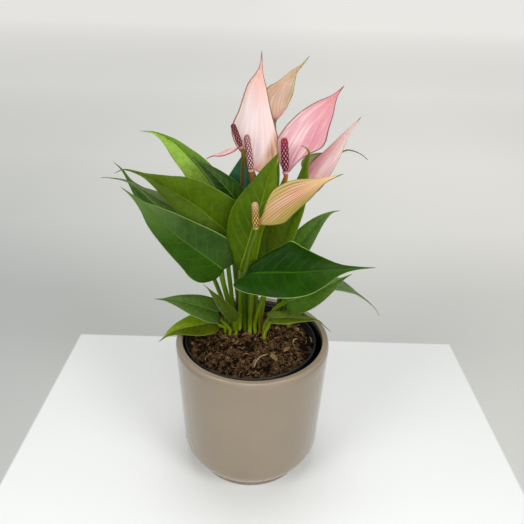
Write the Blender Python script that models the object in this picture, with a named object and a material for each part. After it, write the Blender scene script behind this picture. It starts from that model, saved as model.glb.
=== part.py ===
"""A potted anthurium: a glazed cover pot, the black nursery pot inside it, potting mix,
leaves on their petioles, and blooms of a peduncle, a spathe and a spadix.

The values below are in millimetres, and turned to metres where a mesh is made.
X is to the right, Y away from the viewer and Z up. The origin is the middle of the pot's foot.
"""

import math
from typing import NamedTuple

import bmesh
import bpy
import numpy as np

MM = 0.001
GAP = 0.3

COVER_HEIGHT = 131.7
COVER_RIM_RADIUS = 68.0
COVER_LOW_RADIUS = 63.6
COVER_LOW_Z = 25.0
# The outside of the lower edge, from the foot up to the wall, as (radius, height).
COVER_LOW_EDGE = [(51.6, 5.2), (55.3, 9.3), (58.2, 12.8), (60.7, 16.6), (62.6, 20.8)]
COVER_WALL = 6.0
COVER_FLOOR_TOP = 10.0
FOOT_RADIUS = 51.2
FOOT_HEIGHT = 4.5
COVER_SEGMENTS = 36

NURSERY_OFFSET_X = -1.8
NURSERY_RIM_RADIUS = 58.5
NURSERY_RIM_TOP = COVER_HEIGHT - 5.2
NURSERY_LIP_WIDTH = 1.8
NURSERY_LIP_REACH = 0.9
NURSERY_LIP_DEPTH = 8.0
NURSERY_WALL = 1.2
NURSERY_BASE_RADIUS = 43.0
NURSERY_BOTTOM = COVER_FLOOR_TOP + GAP
NURSERY_SEGMENTS = 36

SOIL_TOP = 122.5
SOIL_RELIEF = 1.8
SOIL_RINGS = 8
SOIL_SEGMENTS = 32
SOIL_SEED = 7

STEM_DEPTH = 14.0
STEM_SIDES = 6
HOLE_SIDES = 8
BLADE_THICKNESS = 0.8
MIDRIB_KEEL = 0.9
SPATHE_THICKNESS = 0.9
COLLAR_RADIUS = 3.3
COLLAR_HEIGHT = 1.6

# Each outline runs from the notch at the stalk round one lobe to the tip. The first number is
# the share of the midrib's length, the second the share of the half width.
LEAF_OUTLINE = [
    (0.00, 0.10), (-0.036, 0.32), (-0.036, 0.62), (0.03, 0.90), (0.17, 1.00), (0.36, 0.90),
    (0.56, 0.62), (0.72, 0.34), (0.84, 0.12), (0.92, 0.05), (1.00, 0.00),
]
SPATHE_OUTLINE = [
    (0.00, 0.12), (0.05, 0.25), (0.12, 0.52), (0.22, 0.85), (0.32, 1.00), (0.48, 0.90),
    (0.64, 0.62), (0.77, 0.33), (0.86, 0.12), (0.93, 0.05), (1.00, 0.00),
]

# Where the drip tip starts in the outlines.
TIP_START = 0.84

# A blade's rows start on the midrib, crowded near the stalk so that they fan into the lobes.
RIB_STEPS = 97
ROW_SHARES = (0, 0.3, 1)
ROW_STARTS = (0, 0.07, 0.99)

# How far a spathe's edge rolls forward, as a share of its half width.
SPATHE_ROLL = 0.2


class Leaf(NamedTuple):
    """A leaf: its hole in the soil, its midrib from the stalk to the tip, the way its upper
    side faces there, and its half widths to the right and left, looking along the midrib.
    The drip tip starts at drip, and the two halves fold up by an angle in degrees.
    A leaf with edges of its own has them, right and left, as shares of the midrib and
    widths. The stalk is a radius, and bend has the points that it passes."""

    name: str
    hole: tuple
    rib: list
    face: tuple
    half: tuple = (12, 12)
    drip: float = 0.84
    edges: tuple = None
    fold: float = 12.0
    bend: list = None
    stalk: float = 2.0
    rows: int = 9
    colour: str = "1f4a10"


class Bloom(NamedTuple):
    """A bloom: its hole, the joint of its peduncle and spathe, the spathe's midrib after the
    joint, the way the spathe's front faces, its half widths, and the spadix's direction."""

    name: str
    hole: tuple
    joint: tuple
    rib: list
    face: tuple
    spike: tuple
    spike_length: float
    spike_radius: float
    half: tuple = (10, 10)
    drip: float = 0.84
    edges: tuple = None
    fold: float = 10.0
    bend: list = None
    stalk: float = 1.7
    colour: str = "eeb4b4"
    spike_colour: str = "a04a5c"
    stalk_colour: str = "8a5a34"


LEAVES = [
    Leaf("leaf_a_front_left", (-17.5, 15.8), [(-25, -2, 198), (-42, -8, 215), (-62, -13, 234),
         (-82, -19, 259), (-99, -23, 276)], (0.0, -0.93, 0.32),
         edges=([(0, 3), (-0.02, 12), (0.03, 19), (0.16, 23.5), (0.34, 20.5), (0.56, 15),
                 (0.70, 8), (0.81, 2.2), (0.9, 1), (1, 0)],
                [(0, 3), (0.01, 11), (0.09, 19.5), (0.19, 21.5), (0.32, 18), (0.50, 13.5),
                 (0.67, 10), (0.79, 5), (0.89, 1.6), (1, 0)])),
    Leaf("leaf_b_olive_left", (-18.5, 21.2), [(-22, 8, 227), (-33, 8, 237), (-50, 7, 252),
         (-68, 6, 264), (-83, 4, 274), (-100, 1, 281), (-109, 0, 278)],
         (-0.1, -0.88, 0.42), fold=14, colour="45660f",
         edges=([(0, 3), (-0.03, 13), (0.02, 21), (0.10, 25), (0.30, 22), (0.50, 16),
                 (0.62, 9.5), (0.71, 4.5), (0.80, 1.6), (1, 0)],
                [(0, 3), (-0.03, 11), (0.05, 16), (0.18, 17.5), (0.33, 15), (0.48, 11),
                 (0.62, 6.5), (0.72, 3.5), (0.80, 1.4), (1, 0)])),
    Leaf("leaf_c_far_left", (-26.5, 31), [(-43, 26, 209), (-69, 26, 225), (-89, 26, 244),
         (-102, 25, 260), (-109, 24, 273), (-116, 24, 280)], (-0.2, -0.85, 0.5), (20, 14),
         drip=0.8),
    Leaf("leaf_d_edge_left", (-22.5, 26.5), [(-33, 14, 227), (-52, 14, 238), (-73, 14, 249),
         (-88, 13, 259), (-103, 12, 268), (-114, 10, 271), (-122, 8, 272)],
         (0.1, -0.5, 0.85), (13, 14), drip=0.7),
    Leaf("leaf_e_lime_upper", (-14.5, 30.5), [(-20, 31, 237), (-39, 32, 261), (-49, 33, 274),
         (-58, 34, 284), (-69, 36, 294), (-83, 37, 301), (-95, 38, 302)],
         (-0.3, -0.7, 0.6), colour="6c9a1a",
         edges=([(0, 3), (-0.02, 9), (0.06, 14), (0.18, 14.5), (0.37, 11.5), (0.50, 9),
                 (0.62, 6), (0.76, 2.8), (0.86, 1.2), (1, 0)],
                [(0, 3), (-0.02, 9), (0.08, 14), (0.20, 15.5), (0.35, 14), (0.50, 11.8),
                 (0.68, 9.2), (0.78, 5.5), (0.87, 2), (1, 0)])),
    Leaf("leaf_f_dark_upper", (-10, 22), [(-8, 20, 241), (-28, 20, 266), (-42, 20, 279),
         (-55, 20, 289)], (0.2, -0.6, 0.75), (12, 12), rows=8),
    Leaf("leaf_g_back_blue", (-4.5, 26), [(-9, 46, 215), (-10, 48, 250), (-9, 50, 294)],
         (-0.2, -0.95, 0.1), (20, 26), rows=8, colour="2d5a38"),
    Leaf("leaf_h_centre", (-12, 16), [(-12, -6, 200), (-6, -8, 221), (-1, -8, 241),
         (5, -5, 260), (10, 0, 280), (17, 4, 297)], (-0.3, -0.95, 0.1), fold=12,
         colour="58801c",
         edges=([(0, 2.5), (0.04, 6), (0.12, 11), (0.24, 10.5), (0.38, 9), (0.52, 10),
                 (0.68, 10.5), (0.80, 7.5), (0.90, 3.2), (1, 0)],
                [(0, 2.5), (0.05, 6), (0.12, 10), (0.23, 17), (0.34, 19.5), (0.48, 20.5),
                 (0.63, 17), (0.77, 10), (0.90, 4.2), (1, 0)])),
    Leaf("leaf_i_front_right", (-3, 12.5), [(-4, -20, 205), (17, -23, 208), (37, -27, 211),
         (67, -30, 217), (94, -33, 220)], (0.0, -0.75, 0.65), colour="1f4d0c",
         edges=([(0, 2), (-0.07, 5), (-0.12, 10), (-0.05, 15.5), (0.08, 19), (0.22, 21.5),
                 (0.36, 21.5), (0.49, 19), (0.60, 13.5), (0.72, 6), (0.84, 2), (1, 0)],
                [(0, 2), (0.02, 7), (0.08, 11), (0.18, 17), (0.28, 22), (0.35, 25),
                 (0.45, 20), (0.59, 11), (0.70, 4.5), (0.80, 1.6), (1, 0)])),
    Leaf("leaf_j_right", (23, 35), [(29, 12, 199), (41, 16, 219), (52, 20, 233),
         (63, 26, 240), (72, 30, 241)], (-0.3, -0.8, 0.5), (11, 11), rows=8),
    Leaf("leaf_k_low_right", (10.5, 12.8), [(30, 12, 160), (57, 4, 178), (82, -3, 198)],
         (0.1, -0.9, 0.4), (14, 14), rows=8, bend=[(13, 18, 135), (20, 21, 147)]),
    Leaf("leaf_l_drooping", (33, 29.5), [(42, 24, 175), (56, 22, 176), (75, 19, 174),
         (93, 16, 167), (107, 13, 157), (113, 11, 149)], (0.0, -0.2, 0.95), (12, 12),
         drip=0.65),
    Leaf("leaf_m_rim_right", (10.5, 6.8), [(15, 8, 145), (33, 9, 145), (47, 8, 145),
         (58, 6, 145), (64, 5, 140), (70, 4, 135)], (0.0, -0.1, 1.0), (10, 9),
         drip=0.7, stalk=1.6, rows=8),
    Leaf("leaf_n_low_left", (-21, 11.5), [(-31, 10, 148), (-47, 7, 156), (-67, 4, 163),
         (-86, 1, 166)], (0.0, -0.6, 0.8), (11, 13), stalk=1.6, rows=8),
    Leaf("leaf_o_lime_left", (-25.5, 16.5), [(-36, 17, 133), (-53, 7, 135), (-70, -4, 136),
         (-83, -8, 127)], (-0.2, -0.65, 0.75), (12, 12), stalk=1.6, rows=8,
         colour="6f8f12"),
    Leaf("leaf_p_small_curled", (-15, 9.8), [(-13, -4, 154), (-27, -6, 171), (-42, -8, 187)],
         (-0.1, -0.9, 0.3), (2.5, 8.5), fold=24, stalk=1.4, rows=8, colour="5a6a1c"),
    Leaf("leaf_r_centre_right", (1.8, 15.8), [(15, 6, 202), (23, 6, 223), (32, 6, 252),
         (36, 7, 273), (38, 7, 287), (40, 6, 296), (37, 4, 301), (33, 2, 303)],
         (-0.6, -0.8, 0.1), colour="2c5a12",
         edges=([(0, 2.5), (0.03, 6), (0.15, 10), (0.32, 10), (0.50, 9), (0.68, 6.5),
                 (0.80, 3.4), (0.89, 1.2), (1, 0)],
                [(0, 2.5), (0.03, 8), (0.14, 14), (0.30, 15), (0.45, 12), (0.60, 7.5),
                 (0.74, 3.5), (0.88, 1), (1, 0)])),
    Leaf("leaf_s_behind", (7, 23.2), [(12, 27, 187), (15, 30, 222), (22, 34, 258),
         (26, 36, 281)], (0.0, -1.0, 0.2), (13, 12), rows=7, colour="45660f"),
    Leaf("leaf_u_back_right", (24, 42.8), [(37, 44, 247), (51, 46, 270), (60, 47, 280),
         (65, 48, 283), (72, 49, 287), (78, 50, 288), (87, 50, 285), (94, 50, 280)],
         (0.2, -0.3, 0.9), (8, 8), drip=0.55),
]

BLOOMS = [
    Bloom("bloom_1", (0, 21.2), (-4, 18, 278), [(-2, 24, 301), (-1, 26, 324), (1, 26, 346),
          (2, 25, 359), (2, 24, 367)], (0.05, -0.95, 0.15), (-0.14, -0.1, 1.0),
          28.0, 2.7, bend=[(-2, 31, 236)], colour="f0c4bc", spike_colour="a8606c",
          edges=([(0, 2.5), (-0.02, 9), (0.03, 17), (0.11, 21.5), (0.20, 21), (0.38, 15.5),
                  (0.55, 10.5), (0.70, 6), (0.81, 2.2), (0.89, 0.9), (1, 0)],
                 [(0, 2.5), (0.07, 4), (0.13, 9), (0.21, 15), (0.31, 18.5), (0.40, 18),
                  (0.52, 13.5), (0.72, 9), (0.81, 4), (0.88, 1.2), (1, 0)])),
    Bloom("bloom_2", (6.5, 17.2), (23, 12, 279), [(30, 15, 296), (40, 17, 315), (51, 18, 329),
          (59, 18, 339), (64, 18, 345)], (-0.3, -0.9, 0.1), (-0.08, -0.13, 1.0),
          27.0, 3.1, colour="e59cb0", spike_colour="8c2a44",
          edges=([(0, 2.5), (0.10, 5), (0.20, 8.5), (0.29, 13), (0.37, 17.5), (0.45, 18.5),
                  (0.54, 16.5), (0.72, 9.5), (0.82, 4.5), (0.90, 1.4), (1, 0)],
                 [(0, 2.5), (0.04, 6.5), (0.13, 11), (0.24, 15.5), (0.36, 15), (0.50, 12.5),
                  (0.71, 7.4), (0.81, 3.6), (0.90, 1.2), (1, 0)])),
    Bloom("bloom_3", (-7.5, 13.5), (1, -16, 243), [(6, -15, 249), (16, -15, 258),
          (31, -14, 269), (48, -13, 280), (65, -13, 287)], (-0.3, -0.7, 0.65),
          (-0.05, -0.05, 1.0), 20.0, 2.8, colour="e2bf86", spike_colour="c79a68",
          bend=[(-8, -5, 184), (-8, -14, 198), (-6, -17, 210), (-3, -17, 226)],
          edges=([(0, 2), (0.07, 3), (0.13, 8), (0.21, 13), (0.29, 15.8), (0.39, 14),
                  (0.62, 9.5), (0.72, 6), (0.81, 2.8), (0.90, 1.1), (1, 0)],
                 [(0, 2), (0.09, 2.4), (0.17, 5), (0.25, 9.6), (0.35, 12.9), (0.46, 12.8),
                  (0.57, 10.8), (0.68, 6.5), (0.79, 2.4), (0.90, 1), (1, 0)])),
    Bloom("bloom_4", (30.5, 35), (36.5, 30, 250), [(42, 31, 259), (51, 33, 273), (62, 36, 288),
          (71, 39, 302), (77, 40, 310), (83, 40, 318)], (0.2, 0.9, -0.15),
          (0.25, 0.72, 0.75), 13.0, 2.4, bend=[(31.5, 34.5, 190), (33.5, 32, 224)], colour="d9808e",
          edges=([(0, 2.5), (0.06, 5), (0.14, 8.5), (0.25, 10), (0.39, 9), (0.55, 6.6),
                  (0.69, 4.1), (0.80, 2.2), (0.90, 1), (1, 0)],
                 [(0, 2.5), (0.06, 5), (0.14, 8.5), (0.25, 10), (0.39, 9), (0.55, 6.6),
                  (0.69, 4.1), (0.80, 2.2), (0.90, 1), (1, 0)])),
    Bloom("bloom_5", (2.3, 27), (14, 48, 313), [(15, 46, 327), (20, 44, 339), (26, 44, 349),
          (33, 45, 355), (39, 46, 362)], (0.0, 0.9, 0.2), (0.2, 0.25, 1.0), 18.0, 2.6,
          bend=[(12, 37, 222), (18, 43, 262)], colour="d3ab94",
          edges=([(0, 2.5), (0.05, 7), (0.15, 11), (0.32, 11), (0.46, 6.5), (0.60, 3.2),
                  (0.76, 1.2), (1, 0)],
                 [(0, 2.5), (0.05, 5), (0.18, 9.5), (0.36, 10.5), (0.52, 8), (0.67, 4.5),
                  (0.80, 1.4), (1, 0)])),
    Bloom("bloom_6", (-14.5, 25.2), (-12, 12, 298), [(-18, 10, 296), (-27, 6, 293),
          (-33, 4, 293), (-38, 2, 291)], (0.0, -0.2, 0.95), (-0.35, -0.1, 0.95),
          18.0, 2.3, (3, 4), bend=[(-13, 34, 235), (-12, 32, 262)], colour="c07068",
          spike_colour="5c1c28"),
    Bloom("bloom_7", (29, 40.2), (39.5, 43, 268), [(45, 43, 278), (51, 44, 284), (57, 45, 287)],
          (0.0, 0.8, 0.5), (0.2, 0.3, 0.9), 12.0, 2.2, (7, 7),
          bend=[(30, 39.3, 190), (33, 43, 240)], colour="b39a72"),
]


def clear_scene():
    for obj in list(bpy.data.objects):
        bpy.data.objects.remove(obj, do_unlink=True)


def linear(hex_colour):
    """The linear RGBA of an sRGB hex colour."""
    channels = [int(hex_colour[i:i + 2], 16) / 255 for i in (0, 2, 4)]
    values = [c / 12.92 if c <= 0.04045 else ((c + 0.055) / 1.055) ** 2.4 for c in channels]
    return (*values, 1.0)


def material(name, hex_colour, roughness, metallic=0.0):
    found = bpy.data.materials.get(name)
    if found:
        return found
    made = bpy.data.materials.new(name)
    made.use_nodes = True
    shader = made.node_tree.nodes["Principled BSDF"]
    shader.inputs["Base Color"].default_value = linear(hex_colour)
    shader.inputs["Roughness"].default_value = roughness
    shader.inputs["Metallic"].default_value = metallic
    made.diffuse_color = linear(hex_colour)
    return made


def unit(vector):
    vector = np.asarray(vector, float)
    return vector / np.linalg.norm(vector)


def smooth_curve(points, count):
    """Points at even steps along a smooth curve through the given ones."""
    points = np.asarray(points, float)
    ends = np.vstack([2 * points[0] - points[1], points, 2 * points[-1] - points[-2]])
    fine = []
    for i in range(1, len(ends) - 2):
        before, start, end, after = ends[i - 1:i + 3]
        for t in np.linspace(0, 1, 16, endpoint=False):
            fine.append(0.5 * (2 * start + (end - before) * t
                               + (2 * before - 5 * start + 4 * end - after) * t ** 2
                               + (3 * start - before - 3 * end + after) * t ** 3))
    fine = np.array(fine + [points[-1]])
    return at_shares(fine, np.linspace(0, 1, count))


def at_shares(line, shares):
    """The points at these shares of a polyline's length."""
    steps = np.linalg.norm(np.diff(line, axis=0), axis=1)
    lengths = np.concatenate([[0], np.cumsum(steps)]) / steps.sum()
    return np.stack([np.interp(shares, lengths, axis) for axis in line.T], axis=1)


def mesh_object(name, points, faces, finish):
    """A closed mesh object, from points in millimetres, with its faces turned outwards."""
    mesh = bpy.data.meshes.new(name)
    mesh.from_pydata([tuple(np.asarray(p) * MM) for p in points], [], faces)
    work = bmesh.new()
    work.from_mesh(mesh)
    bpy.data.meshes.remove(mesh)
    return finished(name, work, finish)


def finished(name, work, finish):
    """The object of a bmesh, with its faces turned outwards."""
    bmesh.ops.recalc_face_normals(work, faces=work.faces)
    if work.calc_volume(signed=True) < 0:
        bmesh.ops.reverse_faces(work, faces=work.faces)
    mesh = bpy.data.meshes.new(name)
    work.to_mesh(mesh)
    work.free()
    mesh.materials.append(finish)
    obj = bpy.data.objects.new(name, mesh)
    bpy.context.scene.collection.objects.link(obj)
    return obj


def smooth_shaded(obj, degrees=40):
    obj.data.shade_smooth()
    obj.data.set_sharp_from_angle(angle=math.radians(degrees))


def joined(base, others):
    """The base with the other objects joined to it in one solid, and those removed."""
    group = bpy.data.collections.new(base.name + "_parts")
    bpy.context.scene.collection.children.link(group)
    for other in others:
        group.objects.link(other)
    union = base.modifiers.new("union", "BOOLEAN")
    union.operation = "UNION"
    union.operand_type = "COLLECTION"
    # The exact solver leaves nothing of some leaves.
    union.solver = "MANIFOLD"
    union.collection = group
    bpy.context.view_layer.update()
    graph = bpy.context.evaluated_depsgraph_get()
    mesh = bpy.data.meshes.new_from_object(base.evaluated_get(graph))
    base.modifiers.remove(union)
    base.data = mesh
    for other in others:
        bpy.data.objects.remove(other, do_unlink=True)
    bpy.data.collections.remove(group)
    return base


def turned(name, profile, segments, finish):
    """A solid of revolution: a closed profile of (radius, height) points spun round Z, where
    the first and last lie on the axis."""
    work = bmesh.new()
    corners = [work.verts.new((radius * MM, 0, height * MM)) for radius, height in profile]
    sides = [work.edges.new(pair) for pair in zip(corners, corners[1:])]
    bmesh.ops.spin(work, geom=corners + sides, cent=(0, 0, 0), axis=(0, 0, 1),
                   angle=2 * math.pi, steps=segments, use_merge=True)
    bmesh.ops.remove_doubles(work, verts=work.verts, dist=0.001 * MM)
    return finished(name, work, finish)


def arc(centre, radius, start, end, count):
    """Points of an arc in a turned profile, from one angle in degrees to another."""
    angles = np.radians(np.linspace(start, end, count))
    return [(centre[0] + radius * math.cos(a), centre[1] + radius * math.sin(a))
            for a in angles]


def build_cover_pot():
    lip = COVER_WALL / 2
    inner_low = COVER_LOW_RADIUS - COVER_WALL
    profile = [(0, 0), (FOOT_RADIUS - 1.0, 0), (FOOT_RADIUS, 1.0),
               (FOOT_RADIUS, FOOT_HEIGHT - 0.8), (FOOT_RADIUS - 1.2, FOOT_HEIGHT)]
    profile += [*COVER_LOW_EDGE, (COVER_LOW_RADIUS, COVER_LOW_Z)]
    profile += arc((COVER_RIM_RADIUS - lip, COVER_HEIGHT - lip), lip, 0, 180, 6)
    profile += [(inner_low, COVER_FLOOR_TOP + 8), (inner_low - 8, COVER_FLOOR_TOP),
                (0, COVER_FLOOR_TOP)]
    pot = turned("cover_pot", profile, COVER_SEGMENTS,
                 material("glazed_stoneware", "9d917f", 0.18))
    smooth_shaded(pot)


def nursery_inner(height):
    """The inner radius of the nursery pot at a height."""
    share = (height - NURSERY_BOTTOM) / (NURSERY_RIM_TOP - NURSERY_BOTTOM)
    flare = NURSERY_RIM_RADIUS - NURSERY_LIP_REACH - NURSERY_BASE_RADIUS
    outer = NURSERY_BASE_RADIUS + flare * share
    return outer - NURSERY_WALL


def build_nursery_pot():
    lip_low = NURSERY_RIM_TOP - NURSERY_LIP_DEPTH
    floor_top = NURSERY_BOTTOM + NURSERY_WALL
    profile = [
        (0, NURSERY_BOTTOM), (NURSERY_BASE_RADIUS, NURSERY_BOTTOM),
        (nursery_inner(lip_low) + NURSERY_WALL, lip_low),
        (NURSERY_RIM_RADIUS, lip_low + 0.6),
        (NURSERY_RIM_RADIUS, NURSERY_RIM_TOP - 0.8),
        (NURSERY_RIM_RADIUS - 0.8, NURSERY_RIM_TOP),
        (NURSERY_RIM_RADIUS - NURSERY_LIP_WIDTH + 0.5, NURSERY_RIM_TOP),
        (NURSERY_RIM_RADIUS - NURSERY_LIP_WIDTH, NURSERY_RIM_TOP - 0.6),
        (nursery_inner(lip_low), lip_low),
        (nursery_inner(floor_top), floor_top), (0, floor_top),
    ]
    pot = turned("nursery_pot", profile, NURSERY_SEGMENTS,
                 material("black_polypropylene", "1b1b1d", 0.45))
    pot.location.x = NURSERY_OFFSET_X * MM
    smooth_shaded(pot)


def build_soil(holes):
    """The potting mix: a plug with a lumpy top, and a plain round hole for every stem."""
    draw = np.random.default_rng(SOIL_SEED)
    floor = NURSERY_BOTTOM + NURSERY_WALL + GAP
    points = [(NURSERY_OFFSET_X, 0, floor)]
    top_radius = nursery_inner(SOIL_TOP) - GAP
    rings = [(nursery_inner(floor) - GAP - 0.2, floor)]
    rings += [(nursery_inner(SOIL_TOP - 4) - GAP, SOIL_TOP - 4)]
    for k in range(SOIL_RINGS):
        rings.append((top_radius * (1 - k / SOIL_RINGS) - (0.4 if k == 0 else 0), SOIL_TOP))
    for number, (radius, height) in enumerate(rings):
        for i in range(SOIL_SEGMENTS):
            angle = 2 * math.pi * (i + 0.5 * (number % 2) * (number > 2)) / SOIL_SEGMENTS
            lift = draw.uniform(-1, 1) * SOIL_RELIEF if number > 1 else 0.0
            points.append((NURSERY_OFFSET_X + radius * math.cos(angle),
                           radius * math.sin(angle), height + lift))
    points.append((NURSERY_OFFSET_X, 0, SOIL_TOP))
    faces = []
    count = len(rings)
    for i in range(SOIL_SEGMENTS):
        j = (i + 1) % SOIL_SEGMENTS
        faces.append((0, 1 + j, 1 + i))
        for ring in range(count - 1):
            low, high = 1 + ring * SOIL_SEGMENTS, 1 + (ring + 1) * SOIL_SEGMENTS
            faces.append((low + i, low + j, high + j))
            faces.append((low + i, high + j, high + i))
        top = 1 + (count - 1) * SOIL_SEGMENTS
        faces.append((top + i, top + j, len(points) - 1))
    soil = mesh_object("soil", points, faces, material("potting_mix", "3a2418", 0.95))
    cutters = bpy.data.collections.new("hole_cutters")
    bpy.context.scene.collection.children.link(cutters)
    for number, (x, y, radius) in enumerate(holes):
        wide = radius + GAP + 0.15
        low, high = SOIL_TOP - STEM_DEPTH - 1.0, SOIL_TOP + 6
        corners = [(x + wide * math.cos(a), y + wide * math.sin(a))
                   for a in np.radians(np.arange(HOLE_SIDES) * 360 / HOLE_SIDES)]
        tube = [(cx, cy, z) for z in (low, high) for cx, cy in corners]
        sides = [(i, (i + 1) % HOLE_SIDES, HOLE_SIDES + (i + 1) % HOLE_SIDES, HOLE_SIDES + i)
                 for i in range(HOLE_SIDES)]
        sides += [tuple(range(HOLE_SIDES)), tuple(range(HOLE_SIDES, 2 * HOLE_SIDES))]
        cutter = mesh_object(f"hole_cutter_{number}", tube, sides, soil.data.materials[0])
        cutters.objects.link(cutter)
    cut = soil.modifiers.new("holes", "BOOLEAN")
    cut.operation = "DIFFERENCE"
    cut.operand_type = "COLLECTION"
    cut.solver = "EXACT"
    cut.collection = cutters
    bpy.context.view_layer.update()
    graph = bpy.context.evaluated_depsgraph_get()
    soil.data = bpy.data.meshes.new_from_object(soil.evaluated_get(graph))
    soil.modifiers.remove(cut)
    for cutter in list(cutters.objects):
        bpy.data.objects.remove(cutter, do_unlink=True)
    bpy.data.collections.remove(cutters)


def blade_frames(rib, face, count):
    """Points along the midrib, with its direction, its right side and its upper side."""
    line = smooth_curve(rib, count)
    along = np.gradient(line, axis=0)
    along /= np.linalg.norm(along, axis=1)[:, None]
    up = np.tile(unit(face), (count, 1))
    up -= along * (up * along).sum(axis=1)[:, None]
    up /= np.linalg.norm(up, axis=1)[:, None]
    right = np.cross(along, up)
    return line, along, right, up


def side_outline(outline, drip, rows):
    """The points where the rows of one side end, as shares of the length and half width."""
    edge = []
    for x, y in outline:
        if x < TIP_START:
            x = x * drip / TIP_START if x > 0 else x
        else:
            x = 1 - (1 - x) * (1 - drip) / (1 - TIP_START)
        edge.append((x, y))
    return smooth_curve(edge, rows + 1)[:rows]


def blade_surface(blade, rib, outline, shape, rows, columns):
    """A grid of points over a blade, row by row from the notch to just before the tip, and
    the tip. shape gives the place at a distance from the midrib, at a half width."""
    line, along, right, up = blade_frames(rib, blade.face, RIB_STEPS)
    length = np.linalg.norm(np.diff(line, axis=0), axis=1).sum()
    if blade.edges:
        ends = [smooth_curve(edge, rows + 1)[:rows] for edge in blade.edges]
    else:
        ends = [side_outline(outline, blade.drip, rows) * (1, half) for half in blade.half]
    starts = np.interp(np.arange(rows) / rows, ROW_SHARES, ROW_STARTS)
    grid = []
    for row, start_x in enumerate(starts):
        points = []
        for column in range(-columns, columns + 1):
            share = abs(column) / columns
            hand = 0 if column > 0 else 1
            end_x, end_y = ends[hand][row]
            x = start_x + (end_x - start_x) * share
            place = np.clip(x, 0, 1) * (RIB_STEPS - 1)
            at = min(int(place), RIB_STEPS - 2)
            mix = place - at
            side = 1 if column > 0 else -1
            centre = line[at] * (1 - mix) + line[at + 1] * mix + along[0] * min(x, 0) * length
            flat, lift = shape(end_y * share, end_y)
            points.append(centre + right[at] * side * flat + up[at] * lift)
        grid.append(points)
    return np.array(grid), line[-1]


def solid_blade(name, grid, tip, thickness, keel, finish):
    """A closed blade round a grid of points, thicker along the midrib underneath."""
    rows, width = grid.shape[:2]
    middle = width // 2
    points = np.vstack([grid.reshape(-1, 3), tip])
    last = len(points) - 1
    faces = []
    for r in range(rows - 1):
        for c in range(width - 1):
            a, b = r * width + c, r * width + c + 1
            d, e = a + width, b + width
            faces += [(a, b, e), (a, e, d)] if c < middle else [(a, b, d), (b, e, d)]
    faces += [((rows - 1) * width + c, (rows - 1) * width + c + 1, last)
              for c in range(width - 1)]
    normals = np.zeros_like(points)
    for face in faces:
        a, b, c = points[list(face)]
        for corner in face:
            normals[corner] += np.cross(b - a, c - a)
    normals /= np.linalg.norm(normals, axis=1)[:, None]
    deep = np.full(len(points), thickness / 2)
    rib = np.arange(rows) * width + middle
    deep[rib] += keel * np.linspace(1, 0.2, rows)
    # Columns run from left to right, so these normals point to the lower side.
    upper = points - normals * thickness / 2
    lower = points + normals * deep[:, None]
    count = len(points)
    rim = list(range(width))
    rim += [r * width + width - 1 for r in range(1, rows)] + [last]
    rim += [r * width for r in range(rows - 1, 0, -1)]
    walls = []
    for i, a in enumerate(rim):
        b = rim[(i + 1) % len(rim)]
        walls += [(a, b, count + b), (a, count + b, count + a)]
    solid = faces + [tuple(count + v for v in reversed(face)) for face in faces] + walls
    return mesh_object(name, np.vstack([upper, lower]), solid, finish)


def tube(name, path, radii, sides, finish):
    """A closed round bar along a path."""
    path = np.asarray(path, float)
    along = np.gradient(path, axis=0)
    along /= np.linalg.norm(along, axis=1)[:, None]
    across = unit(np.cross(along[0], (0.0, 1.0, 0.3)))
    points = []
    for centre, direction, radius in zip(path, along, radii):
        across = unit(across - direction * (across @ direction))
        other = np.cross(direction, across)
        for i in range(sides):
            angle = 2 * math.pi * i / sides
            points.append(centre + radius * (across * math.cos(angle)
                                             + other * math.sin(angle)))
    faces = []
    for r in range(len(path) - 1):
        for i in range(sides):
            j = (i + 1) % sides
            a, b = r * sides + i, r * sides + j
            faces.append((a, b, b + sides, a + sides))
    faces.append(tuple(range(sides)))
    faces.append(tuple((len(path) - 1) * sides + i for i in range(sides)))
    return mesh_object(name, points, faces, finish)


def stem_path(hole, bend, end, arrival, count):
    """A stalk's path: straight down in its hole, then a smooth curve to its end."""
    ground = np.array([hole[0], hole[1], SOIL_TOP + 3.0])
    end = np.asarray(end, float)
    rise = np.linalg.norm(end - ground)
    lead = ground + (0, 0, 0.16 * rise)
    bends = [np.asarray(p, float) for p in bend or []]
    if not bends and arrival is not None and rise > 25:
        bends = [end - unit(arrival) * 0.3 * rise]
    curve = smooth_curve([ground, lead, *bends, end], count)
    return np.vstack([[hole[0], hole[1], SOIL_TOP - STEM_DEPTH], curve])


def leaf_shape(leaf):
    """The place out from the midrib and the height over the flat blade: the halves fold up."""
    rise, run = math.sin(math.radians(leaf.fold)), math.cos(math.radians(leaf.fold))
    return lambda distance, widest: (distance * run, distance * rise)


def build_leaf(leaf):
    finish = material(f"leaf_{leaf.colour}", leaf.colour, 0.3)
    grid, tip = blade_surface(leaf, leaf.rib, LEAF_OUTLINE, leaf_shape(leaf), leaf.rows,
                              3 if leaf.edges else 2)
    blade = solid_blade(leaf.name, grid, tip, BLADE_THICKNESS, MIDRIB_KEEL, finish)
    line, _, _, up = blade_frames(leaf.rib, leaf.face, 33)
    end = line[1] - up[1] * 0.9
    path = stem_path(leaf.hole, leaf.bend, end, end - np.array([*leaf.hole, SOIL_TOP]), 6)
    path = np.vstack([path, line[3] - up[3] * 0.5])
    radii = [leaf.stalk] * (len(path) - 3) + [leaf.stalk * 0.95, leaf.stalk * 0.95, 0.7]
    stalk = tube(leaf.name + "_stalk", path, radii, STEM_SIDES, finish)
    smooth_shaded(joined(blade, [stalk]))


def spathe_shape(bloom):
    """As for a leaf, and the edges roll forward."""
    rise, run = math.sin(math.radians(bloom.fold)), math.cos(math.radians(bloom.fold))

    def shape(distance, widest):
        share = distance / max(widest, 0.01)
        return distance * run, distance * rise + SPATHE_ROLL * share ** 2 * widest

    return shape


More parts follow.
